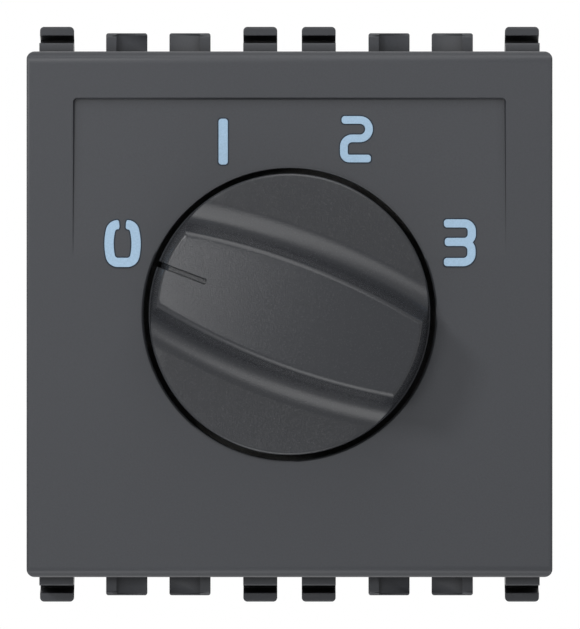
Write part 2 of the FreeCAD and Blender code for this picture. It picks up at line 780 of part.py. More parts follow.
def knob_clip():
    """The bowed leaf between the knob's socket and the spindle's flat."""
    flat = SPINDLE_FLAT + RUNNING_GAP
    inner = flat + CLIP_THICKNESS / 2 + PRESS_GAP
    outer = flat + CLIP_SPACE - CLIP_THICKNESS / 2 - SLIP_GAP
    front = SPINDLE_FRONT + CLIP_SHORT
    rear = HUB_REAR - CLIP_SHORT / 2
    path = [(inner, front), (outer, (front + rear) / 2), (inner, rear)]
    leaf = prism("top", ribbon(path, CLIP_THICKNESS, CLIP_BEND), *about(0, CLIP_WIDTH))
    return at_angle(leaf, POINTER_ANGLE)


def spindle():
    """The turned spindle: a flatted end, a journal, a collar and a square."""
    body = turned([
        (0, SPINDLE_FRONT, 0),
        (SPINDLE_RADIUS, SPINDLE_FRONT, -SPINDLE_CHAMFER),
        (SPINDLE_RADIUS, FLANGE_FRONT, 0),
        (SPINDLE_RADIUS + SPINDLE_FLANGE, FLANGE_FRONT, 0),
        (SPINDLE_RADIUS + SPINDLE_FLANGE, FLANGE_REAR, 0),
        (0, FLANGE_REAR, 0),
    ])
    body = body.cut(block((SPINDLE_FLAT, FAR), (-FAR, HUB_REAR), (-FAR, FAR)))
    square = slab(SQUARE_SIDE / 2, SQUARE_SIDE / 2, FLANGE_REAR - ROOT, SQUARE_REAR, SQUARE_CORNER)
    return at_angle(joined(body, square), POINTER_ANGLE)


def square_socket(front, rear):
    """The square hole that slips on the spindle."""
    half = SQUARE_SIDE / 2 + SLIP_GAP
    return at_angle(slab(half, half, front, rear, SQUARE_CORNER), POINTER_ANGLE)


# Indexing wheel, its leaf spring and its stops


def notch_tip():
    """Where the straight sides of a notch would meet, measured from the axis."""
    lost = NOTCH_ROUND / math.cos(math.radians(NOTCH_SLOPE)) - NOTCH_ROUND
    return WHEEL_RADIUS - NOTCH_DEPTH - lost


def notch():
    """What is cut for one notch, at the top of the wheel."""
    high = WHEEL_RADIUS + PAST
    spread = (high - notch_tip()) / math.tan(math.radians(NOTCH_SLOPE))
    outline = [(0, notch_tip(), NOTCH_ROUND), (spread, high, 0), (-spread, high, 0)]
    return prism("front", outline, WHEEL_FRONT - PAST, WHEEL_REAR + PAST)


def wheel_webs():
    """What is cut from the wheel's two faces between its hub and its rim."""
    outer = WHEEL_RADIUS - NOTCH_DEPTH - WHEEL_RIM
    webs = []
    for face in (WHEEL_FRONT, WHEEL_REAR):
        depth = (face - WHEEL_WEB_SUNK, face + WHEEL_WEB_SUNK)
        webs.append(rod(outer, *depth).cut(rod(WHEEL_HUB_RADIUS, *depth)))
    return webs


def detent_wheel():
    """The indexing wheel: notches all round, a stop lug and thinned webs."""
    depth = (WHEEL_FRONT, WHEEL_REAR)
    lug_reach = (WHEEL_RADIUS - NOTCH_DEPTH, WHEEL_RADIUS + LUG_REACH)
    wheel = joined(rod(WHEEL_RADIUS, *depth), sector(*lug_reach, *depth, LUG_ANGLE, LUG_HALF_ANGLE))
    notches = [at_angle(notch(), i * STEP_ANGLE) for i in range(round(360 / STEP_ANGLE))]
    socket = square_socket(WHEEL_FRONT - PAST, WHEEL_REAR + PAST)
    return wheel.cut(Part.makeCompound(notches + wheel_webs() + [socket]))


def detent_spring():
    """The leaf spring: flat arms on two posts and a bent nose in the wheel's top notch."""
    slope = math.radians(NOTCH_SLOPE)
    tip = notch_tip() + (NOTCH_GAP + LEAF_THICKNESS / 2) / math.cos(slope)
    spread = (LEAF_Z - tip) / math.tan(slope)
    path = [
        (-LEAF_END, LEAF_Z),
        (-spread, LEAF_Z),
        (0, tip),
        (spread, LEAF_Z),
        (LEAF_END, LEAF_Z),
    ]
    return prism("front", ribbon(path, LEAF_THICKNESS, LEAF_BEND), WHEEL_FRONT, WHEEL_REAR)


def leaf_post(side):
    """A slotted post of the lid that holds one end of the leaf spring."""
    near = LEAF_END + ROOT - LEAF_POST
    post = block(
        on_side(side, near, LEAF_END + ROOT),
        (LID_REAR - ROOT, WHEEL_REAR + ROOT),
        about(LEAF_Z, LEAF_POST_HEIGHT),
    )
    slot = block(
        on_side(side, near - PAST, LEAF_END + RUNNING_GAP),
        (WHEEL_FRONT - END_PLAY, FAR),
        about(LEAF_Z, LEAF_THICKNESS + 2 * RUNNING_GAP),
    )
    return post.cut(slot)


def lid_rim():
    """The lid's rim inside the housing's mouth, open at the two screw bosses."""
    rim_x = CAVITY_X - LID_FIT
    rim_z = CAVITY_Z - LID_FIT
    rear = LID_REAR + LID_RIM_DEPTH
    rim = slab(rim_x, rim_z, LID_REAR - ROOT, rear, LID_RIM_CORNER)
    inside = slab(rim_x - LID_RIM, rim_z - LID_RIM, LID_REAR - PAST, rear + PAST, LID_RIM_CORNER)
    rim = rim.cut(inside)
    clear = BOSS_WEB / 2 + BASE_FIT
    for side, end in SCREW_CORNERS:
        corner = block(
            on_side(side, BOSS_X - clear, FAR),
            (LID_REAR, rear + PAST),
            on_side(end, BOSS_Z - clear, FAR),
        )
        boss = rod(BOSS_RADIUS + BASE_FIT, LID_REAR, rear + PAST, side * BOSS_X, end * BOSS_Z)
        rim = rim.cut(corner).cut(boss)
    return rim


def lid_stops():
    """The two stops that the wheel's lug runs against."""
    inner = WHEEL_RADIUS + STOP_OFF_WHEEL
    depth = (LID_REAR - ROOT, WHEEL_REAR - STOP_SHORT)
    away = LUG_HALF_ANGLE + STOP_GAP_ANGLE + STOP_ARC / 2
    angles = (LUG_ANGLE + away, LUG_ANGLE - TURN_RANGE - away)
    return [sector(inner, inner + STOP_WIDTH, *depth, angle, STOP_ARC / 2) for angle in angles]


def mechanism_lid():
    """The front plate of the switch: the spindle's bush, two stops and the spring's posts."""
    plate = slab(HOUSING_X, HOUSING_Z, LID_FRONT, LID_REAR, HOUSING_CORNER)
    bush = rod(LID_BUSH_RADIUS, LID_REAR - ROOT, BUSH_REAR)
    lid = joined(plate, lid_rim(), bush, *lid_stops(), leaf_post(-1), leaf_post(1))
    lid = lid.cut(rod(SPINDLE_RADIUS + RUNNING_GAP, LID_FRONT - PAST, BUSH_REAR + PAST))
    hole = LID_SCREW_RADIUS + LID_SCREW_PASSAGE
    for side, end in SCREW_CORNERS:
        lid = lid.cut(rod(hole, LID_FRONT - PAST, LID_REAR + PAST, side * BOSS_X, end * BOSS_Z))
    return lid


def lid_screws():
    """Two pan-head screws that hold the lid on the housing."""
    front = LID_FRONT - LID_SCREW_HEAD
    seat = LID_FRONT - SLIP_GAP
    screw = turned([
        (0, front, 0),
        (LID_SCREW_HEAD_RADIUS, front, -LID_SCREW_HEAD_EDGE),
        (LID_SCREW_HEAD_RADIUS, seat, 0),
        (LID_SCREW_RADIUS, seat, 0),
        (LID_SCREW_RADIUS, LID_FRONT + LID_SCREW_LENGTH, -LID_SCREW_POINT),
        (0, LID_FRONT + LID_SCREW_LENGTH, 0),
    ])
    along = about(0, LID_SCREW_CROSS_LENGTH)
    across = about(0, LID_SCREW_CROSS_WIDTH)
    depth = (front - PAST, front + LID_SCREW_CROSS_DEPTH)
    screw = screw.cut(block(along, depth, across)).cut(block(across, depth, along))
    screws = []
    for side, end in SCREW_CORNERS:
        copy = screw.copy()
        copy.translate(Vector(side * BOSS_X, 0, end * BOSS_Z))
        screws.append(copy)
    return Part.makeCompound(screws)


# Contact rotor and its bridge, drawn pointing to the right


def contact_rotor():
    """The insulating rotor: a socket on the spindle, a pocket for the bridge and a rear pivot."""
    shoulder = PIVOT_RADIUS + PIVOT_COLLAR
    body = turned([
        (0, ROTOR_FRONT, 0),
        (ROTOR_HUB_RADIUS, ROTOR_FRONT, 0),
        (ROTOR_HUB_RADIUS, ROTOR_DISC_FRONT, 0),
        (ROTOR_RADIUS, ROTOR_DISC_FRONT, -ROTOR_EDGE),
        (ROTOR_RADIUS, ROTOR_REAR, -ROTOR_EDGE),
        (shoulder, ROTOR_REAR, 0),
        (shoulder, BASE_FRONT - END_PLAY, 0),
        (PIVOT_RADIUS, BASE_FRONT - END_PLAY, 0),
        (PIVOT_RADIUS, BASE_REAR - PIVOT_SHORT, -ROTOR_EDGE),
        (0, BASE_REAR - PIVOT_SHORT, 0),
    ])
    boss_front = ROTOR_FRONT + SPRING_BOSS_SUNK
    boss = rod(SPRING_RADIUS + SPRING_BOSS_WALL, boss_front, ROTOR_DISC_FRONT + ROOT, x=BRIDGE_PLACE)
    pocket = block(
        (shoulder, ROTOR_RADIUS - POCKET_SPARE),
        (BRIDGE_MIDDLE - BRIDGE_THICKNESS / 2 - POCKET_SPARE, ROTOR_REAR + PAST),
        about(0, BRIDGE_WIDTH + 2 * BRIDGE_FIT),
    )
    pocket = pocket.cut(rod(shoulder, ROTOR_FRONT, BASE_REAR))
    bore = rod(SPRING_RADIUS + SPRING_WIRE / 2 + SPRING_FIT, SPRING_FRONT, ROTOR_REAR, x=BRIDGE_PLACE)
    body = at_angle(joined(body, boss).cut(pocket).cut(bore), OFF_CONTACT_ANGLE)
    return body.cut(square_socket(ROTOR_FRONT - PAST, SQUARE_REAR + SQUARE_SHORT))


def bridge_contact():
    """The bridge: a formed strip whose two feet run on the centre ring and on the rivets."""
    touching = STRIP_FRONT - TOUCH_GAP - BRIDGE_THICKNESS / 2
    lost_in_bend = 0.15
    ring_foot = (RING_INNER + RING_OUTER) / 2
    ring_touch = touching + lost_in_bend
    rivet_touch = touching - RIVET_HEIGHT + lost_in_bend
    path = [
        (PIVOT_RADIUS + PIVOT_COLLAR + BRIDGE_BEND, ring_touch - BRIDGE_RISE / 2),
        (ring_foot, ring_touch),
        (ring_foot + BRIDGE_RISE, BRIDGE_MIDDLE),
        (PAD_CIRCLE - BRIDGE_RISE, BRIDGE_MIDDLE),
        (PAD_CIRCLE, rivet_touch),
        (PAD_CIRCLE + BRIDGE_RISE, BRIDGE_MIDDLE + BRIDGE_RISE / 4),
    ]
    outline = ribbon(path, BRIDGE_THICKNESS, BRIDGE_BEND)
    return at_angle(prism("top", outline, *about(0, BRIDGE_WIDTH)), OFF_CONTACT_ANGLE)


def bridge_spring():
    """The coil spring that presses the bridge on its contacts."""
    off_end = SPRING_WIRE / 2 + SPRING_END_GAP
    front = SPRING_FRONT + off_end
    height = BRIDGE_MIDDLE - BRIDGE_THICKNESS / 2 - off_end - front
    corners = []
    for i in range(SPRING_WIRE_SIDES + 1):
        angle = math.radians(360 / SPRING_WIRE_SIDES * i)
        across = SPRING_RADIUS + math.cos(angle) * SPRING_WIRE / 2
        corners.append(Vector(across, 0, math.sin(angle) * SPRING_WIRE / 2))
    path = Part.Wire(Part.makeHelix(height / SPRING_TURNS, height, SPRING_RADIUS).Edges)
    coil = path.makePipeShell([Part.makePolygon(corners)], True, True)
    coil.rotate(AXIS_POINT, Vector(1, 0, 0), -90)
    coil.translate(Vector(BRIDGE_PLACE, front, 0))
    return at_angle(Part.Solid(coil), OFF_CONTACT_ANGLE)


# Fixed contacts, their base and the terminals


def pad_place(position):
    """The (x, z) place of the pad that the bridge reaches at a speed position."""
    angle = math.radians(OFF_CONTACT_ANGLE - position * STEP_ANGLE)
    return PAD_CIRCLE * math.cos(angle), PAD_CIRCLE * math.sin(angle)


def contact_tail(side, end):
    """The bent end of a contact: along the base, through it and out into the terminal's cage."""
    on_base = BASE_FRONT - STRIP_THICKNESS / 2
    in_cage = TAIL_REAR - STRIP_THICKNESS / 2
    path = [
        (on_base, LEG_Z - LINK_SHORT - STRIP_BEND),
        (on_base, LEG_Z),
        (in_cage, LEG_Z),
        (in_cage, CHAMBER_OUTER_Z - TAIL_GAP),
    ]
    outline = ribbon(path, STRIP_THICKNESS, STRIP_BEND)
    tail = prism("side", outline, *about(side * TERMINAL_X, TAIL_WIDTH))
    return upside_down(tail) if end < 0 else tail


def link_strip(start, end, half_width):
    """A flat strip on the base's face between two (x, z) places."""
    along = Vector(end[0] - start[0], end[1] - start[1], 0)
    along.normalize()
    across = Vector(-along.y, along.x, 0) * half_width
    corners = [
        (start[0] + across.x, start[1] + across.y, 0),
        (end[0] + across.x, end[1] + across.y, 0),
        (end[0] - across.x, end[1] - across.y, 0),
        (start[0] - across.x, start[1] - across.y, 0),
    ]
    return prism("front", corners, STRIP_FRONT, BASE_FRONT)


def fixed_contact(name, start, head):
    """A contact pressed from brass strip: its head, a link and the tail in its terminal."""
    side, end = TERMINALS[name]
    half_width = (TAIL_WIDTH - LINK_NARROWER) / 2
    shoulder = (side * TERMINAL_X, end * (LEG_Z - LINK_SHORT))
    corner = rod(half_width, STRIP_FRONT, BASE_FRONT, *shoulder)
    return joined(head, link_strip(start, shoulder, half_width), corner, contact_tail(side, end))


def common_contact():
    """The centre ring that the bridge always touches, with its terminal tail."""
    contact = fixed_contact("common", (0, 0), rod(RING_OUTER, STRIP_FRONT, BASE_FRONT))
    return contact.cut(rod(RING_INNER, STRIP_FRONT - PAST, BASE_FRONT + PAST))


def speed_contact(position):
    """The contact of one speed, with a hole for its rivet."""
    place = pad_place(position)
    pad = rod(PAD_RADIUS, STRIP_FRONT, BASE_FRONT, *place)
    contact = fixed_contact(f"speed_{position}", place, pad)
    return contact.cut(rod(RIVET_SHANK, STRIP_FRONT - PAST, BASE_FRONT + PAST, *place))


def contact_rivets():
    """Three silver rivets, one in each speed contact."""
    shank = RIVET_SHANK - PRESS_GAP
    rivet = turned([
        (0, STRIP_FRONT - RIVET_HEIGHT, 0),
        (RIVET_RADIUS, STRIP_FRONT - RIVET_HEIGHT, -RIVET_EDGE),
        (RIVET_RADIUS, STRIP_FRONT, 0),
        (shank, STRIP_FRONT, 0),
        (shank, BASE_FRONT, 0),
        (shank + RIVET_UPSET, BASE_FRONT, 0),
        (shank, BASE_FRONT + RIVET_UPSET, 0),
        (0, BASE_FRONT + RIVET_UPSET, 0),
    ])
    rivets = []
    for position in range(1, POSITIONS):
        x, z = pad_place(position)
        copy = rivet.copy()
        copy.translate(Vector(x, 0, z))
        rivets.append(copy)
    return Part.makeCompound(rivets)


def contact_base():
    """The insulating plate under the contacts, notched round the screw bosses."""
    through = (BASE_FRONT - PAST, BASE_REAR + PAST)
    plate = slab(CAVITY_X - BASE_FIT, CAVITY_Z - BASE_FIT, BASE_FRONT, BASE_REAR, BASE_CORNER)
    cuts = [rod(PIVOT_RADIUS + RUNNING_GAP, *through)]
    boss = BOSS_RADIUS + BASE_FIT
    for side, end in SCREW_CORNERS:
        cuts.append(block(on_side(side, BOSS_X - boss, FAR), through, on_side(end, BOSS_Z - boss, FAR)))
    for end in (-1, 1):
        cuts.append(rod(PEG_RADIUS + RUNNING_GAP, *through, z=end * PEG_Z))
    slot_inner = LEG_Z - STRIP_THICKNESS / 2 - STRIP_BEND - BRIDGE_FIT
    slot_outer = LEG_Z + STRIP_THICKNESS / 2 + BRIDGE_FIT
    for side, end in TERMINALS.values():
        across = about(side * TERMINAL_X, TAIL_WIDTH + BASE_FIT)
        cuts.append(block(across, through, on_side(end, slot_inner, slot_outer)))
    for position in range(1, POSITIONS):
        sink = BASE_FRONT + RIVET_UPSET + END_PLAY
        cuts.append(rod(RIVET_RADIUS, BASE_FRONT - PAST, sink, *pad_place(position)))
    return plate.cut(Part.makeCompound(cuts))


def terminal_cage(side, end):
    """A box clamp bent from steel, with a threaded wall on the screw."""
    centre_x = side * TERMINAL_X
    centre_z = end * TERMINAL_Z
    low_x, high_x = about(centre_x, CAGE_WIDTH)
    low_z, high_z = about(centre_z, CAGE_LENGTH)
    outer = rectangle((low_x, CAGE_FRONT), (high_x, CAGE_REAR), CAGE_BEND)
    inner = rectangle((low_x + CAGE_SIDE, CAGE_FRONT + CAGE_FLOOR), (high_x - CAGE_SIDE, NUT_FRONT))
    cage = prism("top", outer, low_z, high_z).cut(prism("top", inner, low_z - PAST, high_z + PAST))
    return cage.cut(rod(SCREW_RADIUS + SLIP_GAP, NUT_FRONT - PAST, CAGE_REAR + PAST, centre_x, centre_z))


def terminal_screw(side, end):
    """A terminal screw with a combined slot and cross, its head to the rear."""
    screw = turned([
        (0, SCREW_TIP, 0),
        (SCREW_RADIUS, SCREW_TIP, -SCREW_TIP_CHAMFER),
        (SCREW_RADIUS, HEAD_FRONT, 0),
        (SCREW_HEAD_RADIUS, HEAD_FRONT, 0),
        (SCREW_HEAD_RADIUS, HEAD_REAR, -SCREW_HEAD_EDGE),
        (0, HEAD_REAR, 0),
    ])
    width = about(0, SCREW_SLOT_WIDTH)
    cross = about(0, SCREW_CROSS_LENGTH)
    screw = screw.cut(block((-FAR, FAR), (HEAD_REAR - SCREW_SLOT_DEPTH, HEAD_REAR + PAST), width))
    screw = screw.cut(block(width, (HEAD_REAR - SCREW_CROSS_DEPTH, HEAD_REAR + PAST), cross))
    screw.translate(Vector(side * TERMINAL_X, 0, end * TERMINAL_Z))
    return screw


# Rear housing


def housing_stud(z):
    """A wedge on the housing's right side for the window of a snap leg."""
    plan = [
        (HOUSING_X - ROOT, STUD_FRONT, 0),
        (HOUSING_X, STUD_FRONT, 0),
        (HOUSING_X + STUD_PROUD, STUD_REAR - STUD_NOSE, STUD_NOSE_ROUND),
        (HOUSING_X + STUD_PROUD, STUD_REAR, 0),
        (HOUSING_X - ROOT, STUD_REAR, 0),
    ]
    return prism("top", plan, *about(z, STUD_WIDTH))


def housing_blank():
    """The housing's outside: a wide front, a narrower rear with eased edges, and four studs."""
    front = slab(HOUSING_X, HOUSING_Z, LID_REAR, LEDGE_REAR, HOUSING_CORNER)
    rear = slab(REAR_X, HOUSING_Z, LEDGE_REAR - PAST, HOUSING_REAR, HOUSING_CORNER)
    rim = [edge for edge in rear.Edges if edge.BoundBox.YMin > HOUSING_REAR - SLIP_GAP]
    studs = []
    for z in (-LEG_PLACE, LEG_PLACE):
        stud = housing_stud(z)
        studs += [stud, left_right(stud)]
    return joined(front, rear.makeFillet(REAR_EDGE, rim), *studs)


def screw_bosses():
    """The two bosses for the lid's screws, webbed to the walls."""
    depth = (LID_REAR, LEDGE_REAR - ROOT)
    bosses = []
    for side, end in SCREW_CORNERS:
        x = side * BOSS_X
        z = end * BOSS_Z
        bosses.append(rod(BOSS_RADIUS, *depth, x, z))
        bosses.append(block(on_side(side, BOSS_X, CAVITY_X + ROOT), depth, about(z, BOSS_WEB)))
        bosses.append(block(about(x, BOSS_WEB), depth, on_side(end, BOSS_Z, CAVITY_Z + ROOT)))
    return bosses


def base_pegs():
    """Two pegs that pass through the contact base, their heads formed over it."""
    pegs = []
    for end in (-1, 1):
        z = end * PEG_Z
        pegs.append(rod(PEG_RADIUS, BASE_FRONT - ROOT, LEDGE_REAR - ROOT, z=z))
        pegs.append(rod(PEG_RADIUS + PEG_HEAD, BASE_FRONT - PEG_HEAD_HEIGHT, BASE_FRONT - PRESS_GAP, z=z))
    return pegs


def terminal_hollows(side, end):
    """What is cut for one terminal: its chamber, its screw's passage and well, its wire's entry."""
    x = side * TERMINAL_X
    z = end * TERMINAL_Z
    chamber = block(
        on_side(side, CHAMBER_INNER_X, CHAMBER_OUTER_X),
        (BASE_REAR - ROOT, CHAMBER_REAR),
        on_side(end, CHAMBER_INNER_Z, CHAMBER_OUTER_Z),
    )
    passage = rod(SCREW_RADIUS + SCREW_PASSAGE, CHAMBER_REAR - PAST, HOUSING_REAR, x, z)
    well = rod(SCREW_WELL_RADIUS, CHAMBER_REAR + SCREW_LEDGE, HOUSING_REAR + PAST, x, z)
    inward = Vector(0, 0, -end)
    outside = Vector(x, WIRE_DEPTH, end * (HOUSING_Z + PAST))
    hole = Part.makeCylinder(WIRE_HOLE_RADIUS, ENTRY_WALL + 2 * PAST, outside, inward)
    mouth = Vector(x, WIRE_DEPTH, end * HOUSING_Z)
    wide = WIRE_HOLE_RADIUS + WIRE_FUNNEL
    funnel = Part.makeCone(wide, WIRE_HOLE_RADIUS, WIRE_FUNNEL, mouth, inward)
    return [chamber, passage, well, hole, funnel]


def outer_recesses():
    """Shallow sunk panels: one in the middle of the rear wall and one in each side wall."""
    middle_x = CHAMBER_INNER_X - REAR_RECESS_MARGIN
    middle_z = HOUSING_Z - ENTRY_WALL
    rear = slab(middle_x, middle_z, HOUSING_REAR - REAR_RECESS, HOUSING_REAR + PAST, RECESS_CORNER)
    low = (LEDGE_REAR + SIDE_RECESS_MARGIN / 2, -HOUSING_Z + SIDE_RECESS_MARGIN)
    high = (HOUSING_REAR - SIDE_RECESS_MARGIN / 2, HOUSING_Z - SIDE_RECESS_MARGIN)
    side = prism("side", rectangle(low, high, RECESS_CORNER), REAR_X - SIDE_RECESS, REAR_X + PAST)
    return [rear, side, left_right(side)]


def rear_housing():
    """The moulded body: a wide front chamber, and four terminal chambers in a narrower rear."""
    body = housing_blank()
    body = body.cut(slab(CAVITY_X, CAVITY_Z, LID_REAR - PAST, BASE_REAR, SKIRT_CORNER))
    body = joined(body, *screw_bosses(), *base_pegs())
    hollow_x = CHAMBER_INNER_X - HOUSING_WALL
    hollow_z = PEG_Z - PEG_RADIUS - HOUSING_WALL
    hollows = [slab(hollow_x, hollow_z, BASE_REAR - ROOT, HOUSING_REAR - REAR_WALL, RECESS_CORNER)]
    hollows += outer_recesses()
    for side, end in TERMINALS.values():
        hollows += terminal_hollows(side, end)
    bore_end = LID_FRONT + LID_SCREW_LENGTH + ROOT
    for side, end in SCREW_CORNERS:
        bore = LID_SCREW_RADIUS + PRESS_GAP
        hollows.append(rod(bore, LID_REAR - PAST, bore_end, side * BOSS_X, end * BOSS_Z))
    for hollow in hollows:
        body = body.cut(hollow)
    return body


def all_parts():
    """Every node of the assembly with its shape."""
    parts = {
        "front_cover": front_cover(),
        "knob": knob(),
        "knob_clip": knob_clip(),
        "spindle": spindle(),
        "detent_wheel": detent_wheel(),
        "contact_rotor": contact_rotor(),
        "bridge_contact": bridge_contact(),
        "bridge_spring": bridge_spring(),
        "mechanism_lid": mechanism_lid(),
        "detent_spring": detent_spring(),
        "lid_screws": lid_screws(),
        "contact_base": contact_base(),
        "common_contact": common_contact(),
        "contact_rivets": contact_rivets(),
        "rear_housing": rear_housing(),
    }
    for position in range(1, POSITIONS):
        parts[f"speed_{position}_contact"] = speed_contact(position)
    for name, corner in TERMINALS.items():
        parts[f"{name}_terminal_cage"] = terminal_cage(*corner)
        parts[f"{name}_terminal_screw"] = terminal_screw(*corner)
    return parts


os.makedirs("parts", exist_ok=True)
for node, shape in all_parts().items():
    shape.exportStep(f"parts/{node}.step")
    state = "valid" if shape.isValid() else "NOT VALID"
    print(node, len(shape.Solids), "solids", round(shape.Volume, 1), "mm3", state)
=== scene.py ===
import bmesh, bpy, math
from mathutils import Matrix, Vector


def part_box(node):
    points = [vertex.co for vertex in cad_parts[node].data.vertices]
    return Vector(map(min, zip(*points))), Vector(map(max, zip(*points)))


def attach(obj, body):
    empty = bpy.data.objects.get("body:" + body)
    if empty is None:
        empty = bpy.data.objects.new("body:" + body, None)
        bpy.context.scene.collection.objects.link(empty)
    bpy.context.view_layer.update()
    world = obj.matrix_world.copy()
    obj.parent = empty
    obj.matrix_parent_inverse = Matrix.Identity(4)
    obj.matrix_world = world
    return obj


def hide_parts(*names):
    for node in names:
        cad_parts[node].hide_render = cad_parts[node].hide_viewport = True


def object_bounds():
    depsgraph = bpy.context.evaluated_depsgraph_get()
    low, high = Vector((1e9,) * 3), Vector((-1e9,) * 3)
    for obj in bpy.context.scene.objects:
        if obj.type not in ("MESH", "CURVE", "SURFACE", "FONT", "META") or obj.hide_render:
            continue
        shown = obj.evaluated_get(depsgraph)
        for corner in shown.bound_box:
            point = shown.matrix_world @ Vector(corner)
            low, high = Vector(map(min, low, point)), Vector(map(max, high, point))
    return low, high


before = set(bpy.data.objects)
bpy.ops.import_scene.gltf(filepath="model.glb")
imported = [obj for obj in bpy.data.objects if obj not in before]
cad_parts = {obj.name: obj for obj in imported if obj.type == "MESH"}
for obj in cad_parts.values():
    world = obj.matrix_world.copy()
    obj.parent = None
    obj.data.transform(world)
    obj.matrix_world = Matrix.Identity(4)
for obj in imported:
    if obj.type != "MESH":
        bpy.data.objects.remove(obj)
cad_low, cad_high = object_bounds()
MM = 0.001

# The view: straight on to the face, from so far away that the depth hardly shows.
# The face is as large in the picture, and in the same place, as in the photograph.
PHOTO_WIDTH = 580
PHOTO_HEIGHT = 629
FACE_LEFT_PX = 26.5
FACE_RIGHT_PX = 552.5
FACE_TOP_PX = 51.5
FACE_BOTTOM_PX = 577.0
FACE_HALF = 22.4 * MM
FACE_Y = -8.0 * MM
VIEW_DISTANCE = 2.0
VIEW_NEAR = 0.1
VIEW_FAR = 40.0
SENSOR_MM = 36.0
px_size = 2 * FACE_HALF / (FACE_RIGHT_PX - FACE_LEFT_PX)
view_x = (PHOTO_WIDTH - FACE_LEFT_PX - FACE_RIGHT_PX) / 2 * px_size
view_z = (FACE_TOP_PX + FACE_BOTTOM_PX - PHOTO_HEIGHT) / 2 * px_size
bpy.ops.object.camera_add(
    location=(view_x, FACE_Y - VIEW_DISTANCE, view_z),
    rotation=(math.radians(90), 0, 0),
)
camera = bpy.context.object
camera.name = "camera"
camera.data.sensor_width = SENSOR_MM
camera.data.lens = SENSOR_MM * VIEW_DISTANCE / (PHOTO_HEIGHT * px_size)
camera.data.clip_start = VIEW_NEAR
camera.data.clip_end = VIEW_FAR
bpy.context.scene.camera = camera
bpy.context.scene.view_settings.view_transform = "Standard"

# The studio: a small key light from the upper left, which throws the bar's soft shadow, and boxes.
# Those above and below the face draw the bands along the bar's feet, and one near the view
# lights the bar's falling end. The world is dim, but white where the view or a reflection sees it.
LOOK_AT = Vector((0, FACE_Y, 0))
WORLD_LIGHT = 0.05
WORLD_SEEN = 1.0


def soft_box(name, place, width, height, watts):
    """An area light that faces the object from a place in metres."""
    bpy.ops.object.light_add(type="AREA", location=place)
    lamp = bpy.context.object
    lamp.name = name
    lamp.data.shape = "RECTANGLE"
    lamp.data.size = width
    lamp.data.size_y = height
    lamp.data.energy = watts
    aim = LOOK_AT - Vector(place)
    lamp.rotation_euler = aim.to_track_quat("-Z", "Y").to_euler()
    lamp.visible_camera = False


soft_box("key_light", (-0.17, -0.26, 0.13), width=0.07, height=0.07, watts=0.47)
soft_box("top_box", (0.02, -0.095, 0.14), width=0.10, height=0.20, watts=0.225)
soft_box("low_box", (-0.06, -0.22, -0.42), width=0.30, height=0.34, watts=1.2)
soft_box("view_box", (-0.20, -0.76, 0.055), width=0.13, height=0.13, watts=0.95)

world = bpy.data.worlds.new("studio")
bpy.context.scene.world = world
world.use_nodes = True
sky = world.node_tree
around = sky.nodes["Background"]
around.inputs["Color"].default_value = (1, 1, 1, 1)
around.inputs["Strength"].default_value = WORLD_LIGHT
seen = sky.nodes.new("ShaderNodeBackground")
seen.inputs["Color"].default_value = (1, 1, 1, 1)
seen.inputs["Strength"].default_value = WORLD_SEEN
rays = sky.nodes.new("ShaderNodeLightPath")
seen_share = rays.outputs["Is Camera Ray"]
for ray in ("Is Glossy Ray", "Is Transmission Ray"):
    either = sky.nodes.new("ShaderNodeMath")
    either.operation = "MAXIMUM"
    sky.links.new(seen_share, either.inputs[0])
    sky.links.new(rays.outputs[ray], either.inputs[1])
    seen_share = either.outputs[0]
choose = sky.nodes.new("ShaderNodeMixShader")
sky.links.new(seen_share, choose.inputs["Fac"])
sky.links.new(around.outputs[0], choose.inputs[1])
sky.links.new(seen.outputs[0], choose.inputs[2])
sky.links.new(choose.outputs[0], sky.nodes["World Output"].inputs["Surface"])

# The floor: a plain pale board below the object, which its mount would hold clear of it.
# It stays under the picture's lower edge, lets the low box's light through, and glows faintly
# for the view alone, so that it looks pale beside the white world.
FLOOR_DROP = 12 * MM
FLOOR_SIZE = 0.5
FLOOR_COLOUR = (0.8, 0.8, 0.79, 1)
FLOOR_ROUGHNESS = 0.8
FLOOR_GLOW = 0.35
bpy.ops.mesh.primitive_plane_add(size=FLOOR_SIZE, location=(0, 0, cad_low.z - FLOOR_DROP))
floor = bpy.context.object
floor.name = "floor"
pale = bpy.data.materials.new("floor_pale")
pale.use_nodes = True
board = pale.node_tree
board_shader = board.nodes["Principled BSDF"]
board_shader.inputs["Base Color"].default_value = FLOOR_COLOUR
board_shader.inputs["Roughness"].default_value = FLOOR_ROUGHNESS
board_shader.inputs["Emission Color"].default_value = FLOOR_COLOUR
floor_rays = board.nodes.new("ShaderNodeLightPath")
glow = board.nodes.new("ShaderNodeMath")
glow.operation = "MULTIPLY"
glow.inputs[1].default_value = FLOOR_GLOW
board.links.new(floor_rays.outputs["Is Camera Ray"], glow.inputs[0])
board.links.new(glow.outputs[0], board_shader.inputs["Emission Strength"])
floor.data.materials.append(pale)
floor.visible_shadow = False
floor.visible_glossy = False

# The front cover: one moulding in dark anthracite plastic, its face spark-eroded to a fine grain.
# It carries the hooks, tabs and legs, and everything else is fixed behind it.
FLAT_DEGREES = 0.1
SLIGHT_DEGREES = 4.0
SHARP_DEGREES = 30
LARGE_FACE = 20 * MM ** 2
WELD = 1e-7
NOISE_LOW = 0.3
NOISE_HIGH = 0.7
EDGE_SAMPLES = 6
# Painted shade: each plastic's colour is darkened where gaps narrower than its reach shut the
# light out.
GAP_SAMPLES = 8
GAP_REACH = 0.9 * MM
GRAIN_SHADE = 0.2
GRAIN_SHEEN = 0.04
COVER_COLOUR = (0.034, 0.036, 0.041)


def take(piece):
    """Selects one piece and nothing else."""
    bpy.ops.object.select_all(action="DESELECT")
    piece.select_set(True)
    bpy.context.view_layer.objects.active = piece


